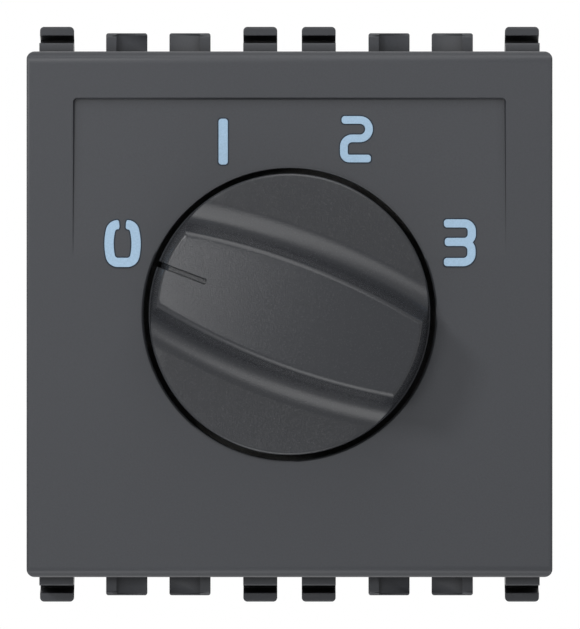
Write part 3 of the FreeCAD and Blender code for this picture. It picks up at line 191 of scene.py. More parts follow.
def smoothed(piece, sharp_degrees=SHARP_DEGREES):
    """Shades a piece smooth except at its real edges, with its large faces kept flat."""
    take(piece)
    bpy.ops.object.shade_smooth_by_angle(angle=math.radians(sharp_degrees))
    bpy.ops.object.modifier_add(type="WEIGHTED_NORMAL")
    piece.modifiers[-1].keep_sharp = True
    bpy.ops.object.modifier_apply(modifier=piece.modifiers[-1].name)
    return piece


def from_node(node, name, sharp_degrees=SHARP_DEGREES):
    """A copy of a CAD piece with its loose triangles joined, which then stands for it."""
    piece = bpy.data.objects.new(name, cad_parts[node].data.copy())
    bpy.context.scene.collection.objects.link(piece)
    take(piece)
    bpy.ops.object.mode_set(mode="EDIT")
    bpy.ops.mesh.select_all(action="SELECT")
    bpy.ops.mesh.remove_doubles(threshold=WELD)
    bpy.ops.mesh.dissolve_limited(angle_limit=math.radians(FLAT_DEGREES))
    bpy.ops.mesh.select_mode(type="EDGE")
    bpy.ops.mesh.select_all(action="DESELECT")
    mesh = bmesh.from_edit_mesh(piece.data)
    for edge in mesh.edges:
        slight = math.degrees(edge.calc_face_angle(0)) < SLIGHT_DEGREES
        edge.select_set(slight and min(face.calc_area() for face in edge.link_faces) > LARGE_FACE)
    bpy.ops.mesh.mark_sharp()
    bpy.ops.mesh.select_mode(type="VERT")
    bpy.ops.object.mode_set(mode="OBJECT")
    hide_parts(node)
    return smoothed(piece, sharp_degrees)


def put_on(piece, body, material):
    """Gives a piece its material, which stands for its finish, and the body that it rides on."""
    piece.data.materials.clear()
    piece.data.materials.append(material)
    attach(piece, body)


def noise(tree, feature, detail=2.0, roughness=0.5):
    """Noise over the piece's own coordinates, with features of a size in metres."""
    place = tree.nodes.new("ShaderNodeTexCoord")
    texture = tree.nodes.new("ShaderNodeTexNoise")
    texture.inputs["Scale"].default_value = 1 / feature
    texture.inputs["Detail"].default_value = detail
    texture.inputs["Roughness"].default_value = roughness
    tree.links.new(place.outputs["Object"], texture.inputs["Vector"])
    return texture.outputs["Fac"]


def ranged(tree, value, low, high):
    """A noise value spread from low to high."""
    spread = tree.nodes.new("ShaderNodeMapRange")
    spread.clamp = False
    spread.inputs["From Min"].default_value = NOISE_LOW
    spread.inputs["From Max"].default_value = NOISE_HIGH
    spread.inputs["To Min"].default_value = low
    spread.inputs["To Max"].default_value = high
    tree.links.new(value, spread.inputs["Value"])
    return spread.outputs["Result"]


def shaded(tree, value, colour, spread):
    """A colour made darker and lighter by a share of itself, by a noise value."""
    mix = tree.nodes.new("ShaderNodeMix")
    mix.data_type = "RGBA"
    mix.inputs["A"].default_value = (*(c * (1 - spread) for c in colour), 1)
    mix.inputs["B"].default_value = (*(c * (1 + spread) for c in colour), 1)
    tree.links.new(value, mix.inputs["Factor"])
    return mix.outputs["Result"]


def bumped(tree, edge, *heights):
    """A normal with edges rounded by a radius, and bumps from (height, depth) pairs."""
    rounded = tree.nodes.new("ShaderNodeBevel")
    rounded.samples = EDGE_SAMPLES
    rounded.inputs["Radius"].default_value = edge
    normal = rounded.outputs["Normal"]
    for height, depth in heights:
        bump = tree.nodes.new("ShaderNodeBump")
        bump.inputs["Distance"].default_value = depth
        tree.links.new(height, bump.inputs["Height"])
        tree.links.new(normal, bump.inputs["Normal"])
        normal = bump.outputs["Normal"]
    return normal


def shaded_gaps(tree, colour, reach):
    """Darkens a colour where gaps narrower than a reach shut the light out."""
    openness = tree.nodes.new("ShaderNodeAmbientOcclusion")
    openness.samples = GAP_SAMPLES
    openness.inputs["Distance"].default_value = reach
    tree.links.new(colour, openness.inputs["Color"])
    tree.links.new(openness.outputs["Color"], tree.nodes["Principled BSDF"].inputs["Base Color"])


def moulded_plastic(
    name,
    colour,
    roughness,
    grain=0.14 * MM,
    depth=0.006 * MM,
    edge=0.1 * MM,
    specular=0.25,
    reach=GAP_REACH,
):
    """Moulded plastic whose colour, height and roughness vary together with a fine grain; painted
    shade darkens it in narrow gaps.
    """
    material = bpy.data.materials.new(name)
    material.use_nodes = True
    tree = material.node_tree
    shader = tree.nodes["Principled BSDF"]
    grains = noise(tree, grain, detail=3.0, roughness=0.6)
    sheen = ranged(tree, grains, roughness - GRAIN_SHEEN, roughness + GRAIN_SHEEN)
    shaded_gaps(tree, shaded(tree, grains, colour, GRAIN_SHADE), reach)
    shader.inputs["Specular IOR Level"].default_value = specular
    tree.links.new(sheen, shader.inputs["Roughness"])
    tree.links.new(bumped(tree, edge, (grains, depth)), shader.inputs["Normal"])
    return material


anthracite = moulded_plastic("anthracite_grained", COVER_COLOUR, roughness=0.44)
cover = from_node("front_cover", "cover_moulding")
put_on(cover, "insert", anthracite)

# The numerals 0 to 3: pale blue, each in a dark outline, where the pointer stands for its speed.
# Each is one stroke of even width, inlaid in the sloping floor of the face's recess.
RECESS_TOP = FACE_HALF - 4.03 * MM
RECESS_RUN = 13.4 * MM
RECESS_DEPTH = 0.38 * MM
RECESS_END = RECESS_TOP - RECESS_RUN
NUMERAL_PROUD = 0.03 * MM
OUTLINE_PROUD = 0.008 * MM
OUTLINE_WIDTH = 0.11 * MM
INLAY_DEPTH = 0.2 * MM
INLAY_EDGE = 0.02 * MM
INLAY_EDGE_STEPS = 2
STROKE_CORNER = 0.27 * MM
CORNER_STEPS = 6
BEND_STEPS = 20
CUT_MERGE = 0.002 * MM
INLAY_FLAT_DEGREES = 1.0
INLAY_SHINE_EDGE = 0.01 * MM
PALE_BLUE = (0.275, 0.395, 0.52)
DARK_BLUE = (0.004, 0.010, 0.018)


def pen_down(name, place):
    """Starts a piece as one point, selected in edit mode."""
    bpy.ops.object.select_all(action="DESELECT")
    bpy.ops.mesh.primitive_plane_add(size=MM, location=place)
    piece = bpy.context.object
    piece.name = name
    bpy.ops.object.transform_apply(location=True, rotation=True, scale=True)
    bpy.ops.object.mode_set(mode="EDIT")
    bpy.ops.mesh.select_mode(type="VERT")
    bpy.ops.mesh.select_all(action="SELECT")
    bpy.ops.mesh.merge(type="CENTER")
    return piece


def pen_line(x=0.0, y=0.0, z=0.0):
    """Draws what is selected on by a straight step."""
    bpy.ops.mesh.extrude_region_move(TRANSFORM_OT_translate={"value": (x, y, z)})


def pen_arc(centre, axis, degrees, steps=BEND_STEPS):
    """Draws what is selected on round a centre: the operator turns left-handed about its axis."""
    bpy.ops.mesh.spin(steps=steps, angle=-math.radians(degrees), center=centre, axis=axis)


def pick(test, kind="VERT"):
    """Selects, in edit mode, every point, edge or face of which all points pass the test."""
    bpy.ops.mesh.select_mode(type=kind)
    bpy.ops.mesh.select_all(action="DESELECT")
    mesh = bmesh.from_edit_mesh(bpy.context.object.data)
    if kind == "VERT":
        for point in mesh.verts:
            point.select_set(test(point.co))
    else:
        for part in mesh.edges if kind == "EDGE" else mesh.faces:
            part.select_set(all(test(point.co) for point in part.verts))
    mesh.select_flush_mode()


def pen_up(piece):
    """Ends the drawing: doubles are merged and the faces point outwards."""
    bpy.ops.mesh.select_mode(type="VERT")
    bpy.ops.mesh.select_all(action="SELECT")
    bpy.ops.mesh.remove_doubles(threshold=WELD)
    bpy.ops.mesh.normals_make_consistent(inside=False)
    bpy.ops.object.mode_set(mode="OBJECT")
    return piece


def stroke(name, start, heading, moves, width, grow):
    """A stroke on the face, of (length, 0) straights and (radius, degrees) bends in mm."""
    x, z = start
    turn = math.radians(heading)
    x -= grow * math.cos(turn)
    z -= grow * math.sin(turn)
    half = width / 2 + grow
    side = Vector((-math.sin(turn), 0, math.cos(turn)))
    piece = pen_down(name, (Vector((x, 0, z)) - side * half) * MM)
    pen_line(*(side * 2 * half * MM))
    bpy.ops.mesh.select_all(action="SELECT")
    for i, (size, degrees) in enumerate(moves):
        ahead = Vector((math.cos(turn), 0, math.sin(turn)))
        if degrees:
            left = Vector((-ahead.z, 0, ahead.x)) * math.copysign(size, degrees)
            centre = Vector((x, 0, z)) + left
            pen_arc(centre * MM, (0, -1, 0), degrees)
            turn += math.radians(degrees)
            left = Vector((-math.sin(turn), 0, math.cos(turn))) * math.copysign(size, degrees)
            x, _, z = centre - left
        else:
            size += grow * ((i == 0) + (i == len(moves) - 1))
            pen_line(*(ahead * size * MM))
            x, _, z = Vector((x, 0, z)) + ahead * size
    mesh = bmesh.from_edit_mesh(piece.data)
    bpy.ops.mesh.select_mode(type="VERT")
    bpy.ops.mesh.select_all(action="DESELECT")
    for point in mesh.verts:
        point.select_set(len(point.link_edges) == 2)
    rounding = STROKE_CORNER + grow * MM / 2
    bpy.ops.mesh.bevel(offset=rounding, segments=CORNER_STEPS, affect="VERTICES")
    bpy.ops.mesh.select_all(action="SELECT")
    pen_line(y=INLAY_DEPTH)
    return pen_up(piece)


def carve(piece, tool, operation="DIFFERENCE"):
    """Cuts a piece with a tool, joins the two or keeps what they share, and uses the tool up."""
    take(piece)
    bpy.ops.object.modifier_add(type="BOOLEAN")
    piece.modifiers[-1].operation = operation
    piece.modifiers[-1].solver = "EXACT"
    piece.modifiers[-1].object = tool
    bpy.ops.object.modifier_apply(modifier=piece.modifiers[-1].name)
    bpy.data.objects.remove(tool)
    bpy.ops.object.mode_set(mode="EDIT")
    bpy.ops.mesh.select_all(action="SELECT")
    bpy.ops.mesh.remove_doubles(threshold=CUT_MERGE)
    bpy.ops.mesh.dissolve_degenerate(threshold=CUT_MERGE)
    bpy.ops.object.mode_set(mode="OBJECT")
    return piece


def on_the_slope(piece, proud):
    """Eases a numeral's front edge and lays it in the sloping floor of the recess."""
    take(piece)
    bpy.ops.object.mode_set(mode="EDIT")
    bpy.ops.mesh.select_all(action="SELECT")
    bpy.ops.mesh.dissolve_limited(angle_limit=math.radians(INLAY_FLAT_DEGREES))
    pick(lambda co: co.y < INLAY_DEPTH / 2, "FACE")
    bpy.ops.mesh.region_to_loop()
    bpy.ops.mesh.bevel(offset=INLAY_EDGE, segments=INLAY_EDGE_STEPS, affect="EDGES")
    bpy.ops.mesh.select_mode(type="VERT")
    bpy.ops.object.mode_set(mode="OBJECT")
    slope = math.atan(RECESS_DEPTH / RECESS_RUN)
    piece.location = (0, FACE_Y - proud - RECESS_END * math.sin(slope), 0)
    piece.rotation_euler = (-slope, 0, 0)
    bpy.ops.object.transform_apply(location=True, rotation=True, scale=True)
    return smoothed(piece)


NOUGHT = [
    (0.19, 0), (0.62, 71.65), (5.0, 25.6), (0.66, 77.75), (0.786, 0),
    (0.66, 77.75), (5.0, 25.6), (0.62, 71.65), (0.19, 0),
]
TWO = [(1.547, 0), (0.786, -180), (0.655, 0), (0.70, 90), (0.54, 0), (0.48, 90), (1.82, 0)]
THREE_ABOVE = [(1.72, 0), (0.65, -90), (0.282, 0), (0.65, -90), (1.65, 0)]
THREE_BELOW = [(0.29, 0), (0.71, -90), (0.288, 0), (0.71, -90), (1.64, 0)]
NUMERALS = {
    "numeral_0": [((-14.495, 7.645), 185.0, NOUGHT, 0.79)],
    "numeral_1": [((-5.65, 12.75), 90.0, [(3.92, 0)], 0.79)],
    "numeral_2": [((4.443, 16.56), 0.0, TWO, 0.66)],
    "numeral_3": [
        ((13.155, 7.745), 0.0, THREE_ABOVE, 0.70),
        ((14.50, 6.155), 0.0, THREE_BELOW, 0.70),
    ],
}
pale_blue = moulded_plastic("numeral_pale_blue", PALE_BLUE, roughness=0.5, edge=INLAY_SHINE_EDGE)
dark_blue = moulded_plastic("outline_dark_blue", DARK_BLUE, roughness=0.6, edge=INLAY_SHINE_EDGE)
LAYERS = (
    ("", 0.0, NUMERAL_PROUD, pale_blue),
    ("_outline", OUTLINE_WIDTH / MM, OUTLINE_PROUD, dark_blue),
)
for numeral, strokes in NUMERALS.items():
    for ending, grow, proud, colour in LAYERS:
        first, *others = [stroke(numeral + ending, *line, grow) for line in strokes]
        for other in others:
            carve(first, other, "UNION")
        put_on(on_the_slope(first, proud), "insert", colour)

# The knob: one moulding in a smoother plastic, a skirted disc with a grip bar across it.
# The bar's crown falls towards its ends, its sides are drafted and its feet run hollow into the
# disc. Behind it are ribs and a hub, pushed on the spindle, and its groove points at the speed.
knob_low, knob_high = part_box("knob")
KNOB_RADIUS = (knob_high.x - knob_low.x) / 2
BAR_HEIGHT = 6.3 * MM
HUB_PROUD = 0.9 * MM
BAR_FRONT = knob_low.y
DISC_FRONT = BAR_FRONT + BAR_HEIGHT
HUB_REAR = knob_high.y
KNOB_REAR = HUB_REAR - HUB_PROUD
KNOB_WALL = 1.5 * MM
BAR_HALF_WIDTH = 4.45 * MM
BAR_SIDE_RADIUS = 59 * MM
BAR_FOOT_RADIUS = 2.6 * MM
BAR_FOOT_REACH = 3.2 * MM
BAR_CROWN = 0.6 * MM
BAR_END_SLOPE = 8.0
BAR_END_DRAFT = 0.75 * MM
BAR_END_FOOT = 0.6 * MM
BAR_EDGE = 0.6 * MM
BAR_SHOULDER = 0.4 * MM
DISC_EDGE = 0.25 * MM
HUB_RADIUS = 4.6 * MM
SOCKET_RADIUS = 3.03 * MM
SOCKET_FLAT = 2.7 * MM
SOCKET_ROOF = 2.8 * MM
SOCKET_FRONT = BAR_FRONT + SOCKET_ROOF
RIB_WIDTH = 1.0 * MM
RIB_SHORT = 0.6 * MM
RIB_DEGREES = (45, 135)
MARK_WIDTH = 0.5 * MM
MARK_LENGTH = 4.4 * MM
MARK_DEPTH = 0.32 * MM
MARK_FLOOR = 0.36 * MM
MARK_ROUND = 0.45 * MARK_FLOOR
POINTER_DEGREES = 159.0
STATION = 0.5 * MM
STATIONS = 26
EDGE_STEPS = 8
FOOT_STEPS = 18
CROWN_CUTS = 9
ROUND_STEPS = 6
TURN_STEPS = 160
HUB_STEPS = 64
SOCKET_STEPS = 48
HAIR = 0.01 * MM


def outline(name, *corners):
    """A flat face through corners, drawn in order."""
    piece = pen_down(name, corners[0])
    for start, end in zip(corners, corners[1:]):
        pen_line(*(Vector(end) - Vector(start)))
    bpy.ops.mesh.select_all(action="SELECT")
    bpy.ops.mesh.edge_face_add()
    return piece


def turned(name, corners, steps=TURN_STEPS):
    """A piece turned about the knob's axis from its section's (radius, y, rounding) corners."""
    piece = outline(name, *((radius, y, 0) for radius, y, _ in corners))
    for radius, y, rounding in corners:
        if rounding:
            corner = Vector((radius, y, 0))
            pick(lambda co: (co - corner).length < HAIR / 10)
            bpy.ops.mesh.bevel(offset=rounding, segments=ROUND_STEPS, affect="VERTICES")
    bpy.ops.mesh.select_all(action="SELECT")
    bpy.ops.mesh.delete(type="ONLY_FACE")
    pick(lambda co: co.x < HAIR / 10, "EDGE")
    bpy.ops.mesh.delete(type="EDGE")
    bpy.ops.mesh.select_mode(type="VERT")
    bpy.ops.mesh.select_all(action="SELECT")
    pen_arc((0, 0, 0), (0, 1, 0), 360, steps)
    return pen_up(piece)


def bar_fall(x):
    """How far the bar's crown has fallen at a place along it."""
    return x * x * BAR_CROWN / KNOB_RADIUS ** 2


def bar_narrowing(x):
    """How far the bar's sides have come in at a place along it."""
    return BAR_SIDE_RADIUS - math.sqrt(BAR_SIDE_RADIUS ** 2 - x * x)


def bar_block(name, inset):
    """The grip bar with its hollow feet, longer than the knob is wide, or the form in its wall."""
    top = BAR_FRONT + inset
    half_width = BAR_HALF_WIDTH - inset
    foot = Vector((DISC_FRONT - BAR_FOOT_RADIUS, BAR_HALF_WIDTH + BAR_FOOT_REACH))
    radius = BAR_FOOT_RADIUS + inset + HAIR
    to_foot = foot - Vector((top, half_width))
    lean = math.atan2(to_foot.y, to_foot.x) - math.asin(radius / to_foot.length)
    wall = math.sqrt(to_foot.length_squared - radius ** 2)
    turn = math.pi / 2 - lean
    tuck = BAR_EDGE * math.tan(turn / 2)
    x = -STATIONS * STATION
    fall = bar_fall(x)
    narrowing = bar_narrowing(x)
    across = half_width - tuck - narrowing
    crown_reach = top + fall + BAR_EDGE
    piece = pen_down(name, (x, top + fall, across))
    pen_arc((x, crown_reach, across), (1, 0, 0), -math.degrees(turn), EDGE_STEPS)
    pen_line(y=(wall - tuck) * math.cos(lean) - fall, z=(wall - tuck) * math.sin(lean))
    pen_arc((x, foot.x, foot.y - narrowing), (1, 0, 0), math.degrees(turn), FOOT_STEPS)
    underside = DISC_FRONT + inset + STATION
    pen_line(y=STATION)
    bpy.ops.mesh.select_all(action="SELECT")
    for station in range(1 - STATIONS, STATIONS + 1):
        x = station * STATION
        pen_line(STATION, 0, narrowing - bar_narrowing(x))
        pick(lambda co: co.x > x - HAIR and co.y < crown_reach)
        bpy.ops.transform.translate(value=(0, bar_fall(x) - fall, 0))
        pick(lambda co: co.x > x - HAIR)
        fall = bar_fall(x)
        narrowing = bar_narrowing(x)
    bpy.ops.mesh.select_all(action="SELECT")
    bpy.ops.mesh.duplicate()
    bpy.ops.transform.resize(value=(1, 1, -1), center_override=(0, 0, 0))
    pick(lambda co: co.y < top + bar_fall(co.x) + HAIR / 10)
    bpy.ops.mesh.bridge_edge_loops(number_cuts=CROWN_CUTS, interpolation="LINEAR")
    pick(lambda co: co.y > underside - STATION / 2)
    bpy.ops.mesh.bridge_edge_loops()
    for end in (-1, 1):
        pick(lambda co: co.x * end > (STATIONS - 0.5) * STATION)
        bpy.ops.mesh.edge_face_add()
    return pen_up(piece)


def knob_form(name, inset, rear):
    """The knob's outside, or the form in its wall."""
    radius = KNOB_RADIUS - inset
    top = BAR_FRONT + inset
    disc = DISC_FRONT + inset
    foot = disc + BAR_END_FOOT
    draft = BAR_END_DRAFT / (BAR_END_FOOT + DISC_FRONT - BAR_FRONT)
    corner = radius - BAR_END_DRAFT
    shoulder = top + bar_fall(math.sqrt(corner ** 2 - BAR_HALF_WIDTH ** 2))
    shoulder_radius = radius - draft * (foot - shoulder)
    rise = shoulder_radius * math.tan(math.radians(BAR_END_SLOPE))
    envelope = [
        (0, shoulder - rise, 0),
        (shoulder_radius, shoulder, BAR_SHOULDER),
        (radius - 5 * HAIR, foot, 0),
        (radius - STATION, foot + STATION, 0),
        (0, foot + STATION, 0),
    ]
    skirted_disc = [
        (0, disc, 0),
        (radius, disc, DISC_EDGE),
        (radius, rear, 0),
        (0, rear, 0),
    ]
    form = carve(bar_block(name, inset), turned("envelope", envelope), "INTERSECT")
    return carve(form, turned("disc", skirted_disc), "UNION")


knob = knob_form("knob_moulding", 0.0, KNOB_REAR)
carve(knob, knob_form("knob_hollow", KNOB_WALL, KNOB_REAR + MM))
hub = turned("hub", [
    (0, BAR_FRONT + KNOB_WALL / 2, 0),
    (HUB_RADIUS - KNOB_WALL / 3, BAR_FRONT + KNOB_WALL / 2, 0),
    (HUB_RADIUS, SOCKET_FRONT, 0),
    (HUB_RADIUS, HUB_REAR, 0),
    (0, HUB_REAR, 0),
], HUB_STEPS)
carve(knob, hub, "UNION")
rib_front = DISC_FRONT + KNOB_WALL / 3
rib_rear = KNOB_REAR - RIB_SHORT
for degrees in RIB_DEGREES:
    bpy.ops.mesh.primitive_cube_add(
        size=1,
        location=(0, (rib_front + rib_rear) / 2, 0),
        rotation=(0, math.radians(degrees), 0),
        scale=(2 * (KNOB_RADIUS - KNOB_WALL / 3), rib_rear - rib_front, RIB_WIDTH),
    )
    carve(knob, bpy.context.object, "UNION")
bpy.ops.mesh.primitive_cylinder_add(
    vertices=SOCKET_STEPS,
    radius=SOCKET_RADIUS,
    depth=-2 * SOCKET_FRONT,
    rotation=(math.radians(90), 0, 0),
)
socket = bpy.context.object
bpy.ops.object.transform_apply(location=True, rotation=True, scale=True)
bpy.ops.object.mode_set(mode="EDIT")
bpy.ops.mesh.select_all(action="SELECT")
bpy.ops.mesh.bisect(
    plane_co=(SOCKET_FLAT, 0, 0),
    plane_no=(1, 0, 0),
    use_fill=True,
    clear_outer=True,
    threshold=HAIR / 100,
)
carve(knob, pen_up(socket))
mark_start = KNOB_RADIUS - MARK_LENGTH
mark_end = KNOB_RADIUS - BAR_END_DRAFT - MARK_DEPTH
mark_floor = BAR_FRONT + bar_fall(mark_start) + MARK_DEPTH
mark_low = BAR_FRONT + bar_fall(mark_end) + MARK_DEPTH
mark = outline(
    "mark",
    (mark_start, mark_floor, -MARK_FLOOR / 2),
    (KNOB_RADIUS + MM, mark_low, -MARK_FLOOR / 2),
    (KNOB_RADIUS + MM, BAR_FRONT - MM, -MARK_FLOOR / 2),
    (mark_start, BAR_FRONT - MM, -MARK_FLOOR / 2),
)
bpy.ops.mesh.select_all(action="SELECT")
pen_line(z=MARK_FLOOR)
widening = 1 + (MARK_WIDTH / MARK_FLOOR - 1) * (mark_floor - BAR_FRONT + MM) / MARK_DEPTH
pick(lambda co: co.y < BAR_FRONT - MM / 2)
bpy.ops.transform.resize(value=(1, 1, widening), center_override=(0, 0, 0))
pick(lambda co: co.x < mark_start + HAIR, "EDGE")
mesh = bmesh.from_edit_mesh(mark.data)
for edge in mesh.edges:
    edge.select_set(edge.select and abs(edge.verts[0].co.y - edge.verts[1].co.y) > HAIR)
bpy.ops.mesh.bevel(offset=MARK_ROUND, segments=ROUND_STEPS, affect="EDGES")
bpy.ops.mesh.select_all(action="SELECT")
bpy.ops.mesh.quads_convert_to_tris()
carve(knob, pen_up(mark))
notch = outline(
    "notch",
    (mark_end, mark_floor - MARK_DEPTH / 2, -MARK_WIDTH / 2),
    (KNOB_RADIUS - MARK_DEPTH, DISC_FRONT + BAR_END_FOOT, -MARK_WIDTH / 2),
    (KNOB_RADIUS - MARK_DEPTH, KNOB_REAR + MM, -MARK_WIDTH / 2),
    (KNOB_RADIUS + MM, KNOB_REAR + MM, -MARK_WIDTH / 2),
    (KNOB_RADIUS + MM, mark_floor - MARK_DEPTH / 2, -MARK_WIDTH / 2),
)
bpy.ops.mesh.select_all(action="SELECT")
pen_line(z=MARK_WIDTH)
carve(knob, pen_up(notch))
take(knob)
knob.rotation_euler = (0, -math.radians(POINTER_DEGREES), 0)
bpy.ops.object.transform_apply(location=True, rotation=True, scale=True)
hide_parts("knob")
KNOB_COLOUR = (0.0215, 0.023, 0.0265)
KNOB_SHARP_DEGREES = 35
knob_finish = moulded_plastic(
    "knob_grained",
    KNOB_COLOUR,
    roughness=0.25,
    depth=0.016 * MM,
    specular=0.27,
    reach=0.12 * MM,
)
put_on(smoothed(knob, KNOB_SHARP_DEGREES), "knob_set", knob_finish)

# The rear housing: a glass-filled moulding in smooth black plastic, clipped to the cover's legs.
# Its four chambers hold the terminals, with a wire entry in each end and a well for each screw.
HOUSING_COLOUR = (0.035, 0.036, 0.040)
housing_finish = moulded_plastic(
    "housing_black",
    HOUSING_COLOUR,
    roughness=0.42,
    grain=0.4 * MM,
    depth=0.003 * MM,
)
housing = from_node("rear_housing", "housing_moulding")
put_on(housing, "insert", housing_finish)

# The mechanism's lid: a grey moulded plate, screwed to the housing at two corners.
# Its bush carries the spindle, and its posts and stops hold the leaf spring and end the turn.
LID_COLOUR = (0.50, 0.50, 0.48)
lid_finish = moulded_plastic(
    "lid_grey",
    LID_COLOUR,
    roughness=0.5,
    grain=0.5 * MM,
    depth=0.003 * MM,
    specular=0.1,
    # Painted shade: the long reach darkens the lid's grey under the knob and inside the housing,
    # so the gap round the knob shows black.
    reach=8 * MM,
)
put_on(from_node("mechanism_lid", "lid_moulding"), "insert", lid_finish)

# The contact base: a plate punched from paper laminate, with the fixed contacts laid on its front.
# It is clamped between the housing's ribs, and the rotor's rear pivot turns in its middle.
LAMINATE_COLOUR = (0.60, 0.55, 0.42)
base_finish = moulded_plastic(
    "base_laminate",
    LAMINATE_COLOUR,
    roughness=0.6,
    grain=0.06 * MM,
    depth=0.004 * MM,
)
put_on(from_node("contact_base", "base_plate"), "insert", base_finish)

# The detent wheel: self-lubricating natural plastic, so slightly translucent and very smooth.
# Four notches under the leaf spring give the knob its four places, and a lug meets the stops.
WHEEL_COLOUR = (0.82, 0.80, 0.74)
WHEEL_LIGHT_SHARE = 0.3
WHEEL_LIGHT_DEPTH = 0.4 * MM
wheel_finish = moulded_plastic(
    "wheel_natural",
    WHEEL_COLOUR,
    roughness=0.32,
    grain=0.6 * MM,
    depth=0.002 * MM,
)
wheel_shader = wheel_finish.node_tree.nodes["Principled BSDF"]
wheel_shader.inputs["Subsurface Weight"].default_value = WHEEL_LIGHT_SHARE
wheel_shader.inputs["Subsurface Scale"].default_value = WHEEL_LIGHT_DEPTH
wheel = from_node("detent_wheel", "wheel_moulding")
put_on(wheel, "knob_set", wheel_finish)

# The contact rotor: thermoset in a dull red-brown, which stands the heat of the contacts.
# It drives the bridge contact round in a pocket, on the square end of the spindle.
ROTOR_COLOUR = (0.42, 0.20, 0.10)
rotor_finish = moulded_plastic(
    "rotor_thermoset",
    ROTOR_COLOUR,
    roughness=0.55,
    grain=0.3 * MM,
    depth=0.005 * MM,
)
rotor = from_node("contact_rotor", "rotor_moulding")
put_on(rotor, "knob_set", rotor_finish)

# The spindle: turned from aluminium bar, flatted for the knob and milled square for the rotor.
# The lathe's fine rings run round it.
SPINDLE_COLOUR = (0.62, 0.62, 0.63)
METAL_EDGE = 0.06 * MM
METAL_CLOUD = 3 * MM
METAL_SHEEN = 0.08
STREAK_DETAIL = 4


def metal(
    name,
    colour,
    roughness,
    streak=(1, 1, 1),
    feature=0.3 * MM,
    depth=0.003 * MM,
    spread=0.06,
):
    """Bare or plated metal, with marks stretched along the directions where streak is small."""
    material = bpy.data.materials.new(name)
    material.use_nodes = True
    tree = material.node_tree
    shader = tree.nodes["Principled BSDF"]
    place = tree.nodes.new("ShaderNodeTexCoord")
    stretch = tree.nodes.new("ShaderNodeMapping")
    stretch.inputs["Scale"].default_value = streak
    marks = tree.nodes.new("ShaderNodeTexNoise")
    marks.inputs["Scale"].default_value = 1 / feature
    marks.inputs["Detail"].default_value = STREAK_DETAIL
    tree.links.new(place.outputs["Object"], stretch.inputs["Vector"])
    tree.links.new(stretch.outputs["Vector"], marks.inputs["Vector"])
    lines = marks.outputs["Fac"]
    clouds = noise(tree, METAL_CLOUD)
    sheen = ranged(tree, lines, roughness - METAL_SHEEN, roughness + METAL_SHEEN)
    shader.inputs["Metallic"].default_value = 1.0
    tree.links.new(shaded(tree, clouds, colour, spread), shader.inputs["Base Color"])
    tree.links.new(sheen, shader.inputs["Roughness"])
    tree.links.new(bumped(tree, METAL_EDGE, (lines, depth)), shader.inputs["Normal"])
    return material


spindle_finish = metal(
    "spindle_turned",
    SPINDLE_COLOUR,
    roughness=0.3,
    streak=(0.05, 1, 0.05),
    feature=0.09 * MM,
)
put_on(from_node("spindle", "spindle_bar"), "knob_set", spindle_finish)

# The springs: hardened strip and wire, bright and slightly drawn along their length.
# The leaf indexes the wheel, the clip holds the knob and the coil presses the bridge contact.
SPRINGS = {"knob_clip": "knob_set", "bridge_spring": "knob_set", "detent_spring": "insert"}
SPRING_COLOUR = (0.55, 0.55, 0.56)
ROUND_SHARP_DEGREES = 40
spring_finish = metal(
    "spring_bright",
    SPRING_COLOUR,
    roughness=0.26,
    streak=(0.1, 1, 1),
    feature=0.2 * MM,
    depth=0.002 * MM,
)
for spring, body in SPRINGS.items():
    strip = from_node(spring, spring + "_strip", ROUND_SHARP_DEGREES)
    put_on(strip, body, spring_finish)

# The contact strips: brass, pressed out of rolled sheet, which leaves long fine marks along it.
# The fixed ones are held in the base, their tails under the clamps, and the bridge joins them.
CONTACTS = {
    "bridge_contact": "knob_set",
    "common_contact": "insert",
    "speed_1_contact": "insert",
    "speed_2_contact": "insert",
    "speed_3_contact": "insert",
}
BRASS_COLOUR = (0.78, 0.58, 0.30)
brass = metal(
    "contact_brass_rolled",
    BRASS_COLOUR,
    roughness=0.3,
    streak=(1, 1, 0.08),
    feature=0.15 * MM,
    spread=0.1,
)
for contact, body in CONTACTS.items():
    put_on(from_node(contact, contact + "_strip"), body, brass)

# The contact rivets: silver, one on each speed's strip, headed cold through it.
# Their soft domed faces meet the bridge contact as it comes round.
SILVER_COLOUR = (0.85, 0.85, 0.84)
silver = metal(
    "rivet_silver",
    SILVER_COLOUR,
    roughness=0.2,
    feature=0.5 * MM,
    depth=0.002 * MM,
)
rivet_heads = from_node("contact_rivets", "rivet_heads", ROUND_SHARP_DEGREES)
put_on(rivet_heads, "insert", silver)

# The terminal cages: folded from steel strip and zinc plated with a yellowish passivated layer.
# Each is drawn back by its screw and clamps the wire against the contact's tail.
TERMINALS = ("common", "speed_1", "speed_2", "speed_3")
CLAMP_COLOUR = (0.72, 0.70, 0.62)
clamp_finish = metal(
    "clamp_passivated",
    CLAMP_COLOUR,
    roughness=0.38,
    streak=(1, 0.2, 1),
    feature=0.25 * MM,
    spread=0.14,
)
for terminal in TERMINALS:
    clamp = from_node(f"{terminal}_terminal_cage", f"{terminal}_clamp")
    put_on(clamp, f"{terminal}_cage", clamp_finish)

# The screws: cold headed, thread rolled and zinc plated. The threads are real ridges here.
# One screw pulls each clamp, M3.5 with a slot and cross, and two hold the lid on the housing.
SCREW_RADIUS = 1.75 * MM
LID_SCREW_RADIUS = 1.25 * MM
THREAD_PITCH = 0.6 * MM
THREAD_HEIGHT = 0.3 * MM
THREAD_RUNOUT = 0.3 * MM
THREAD_STEPS = 28
THREAD_FLANK = 0.42
THREAD_CREST = 0.10
LID_HEAD_RADIUS = 2.3 * MM
LID_HEAD_HEIGHT = 1.5 * MM
SCREW_HEAD_HEIGHT = 2.0 * MM


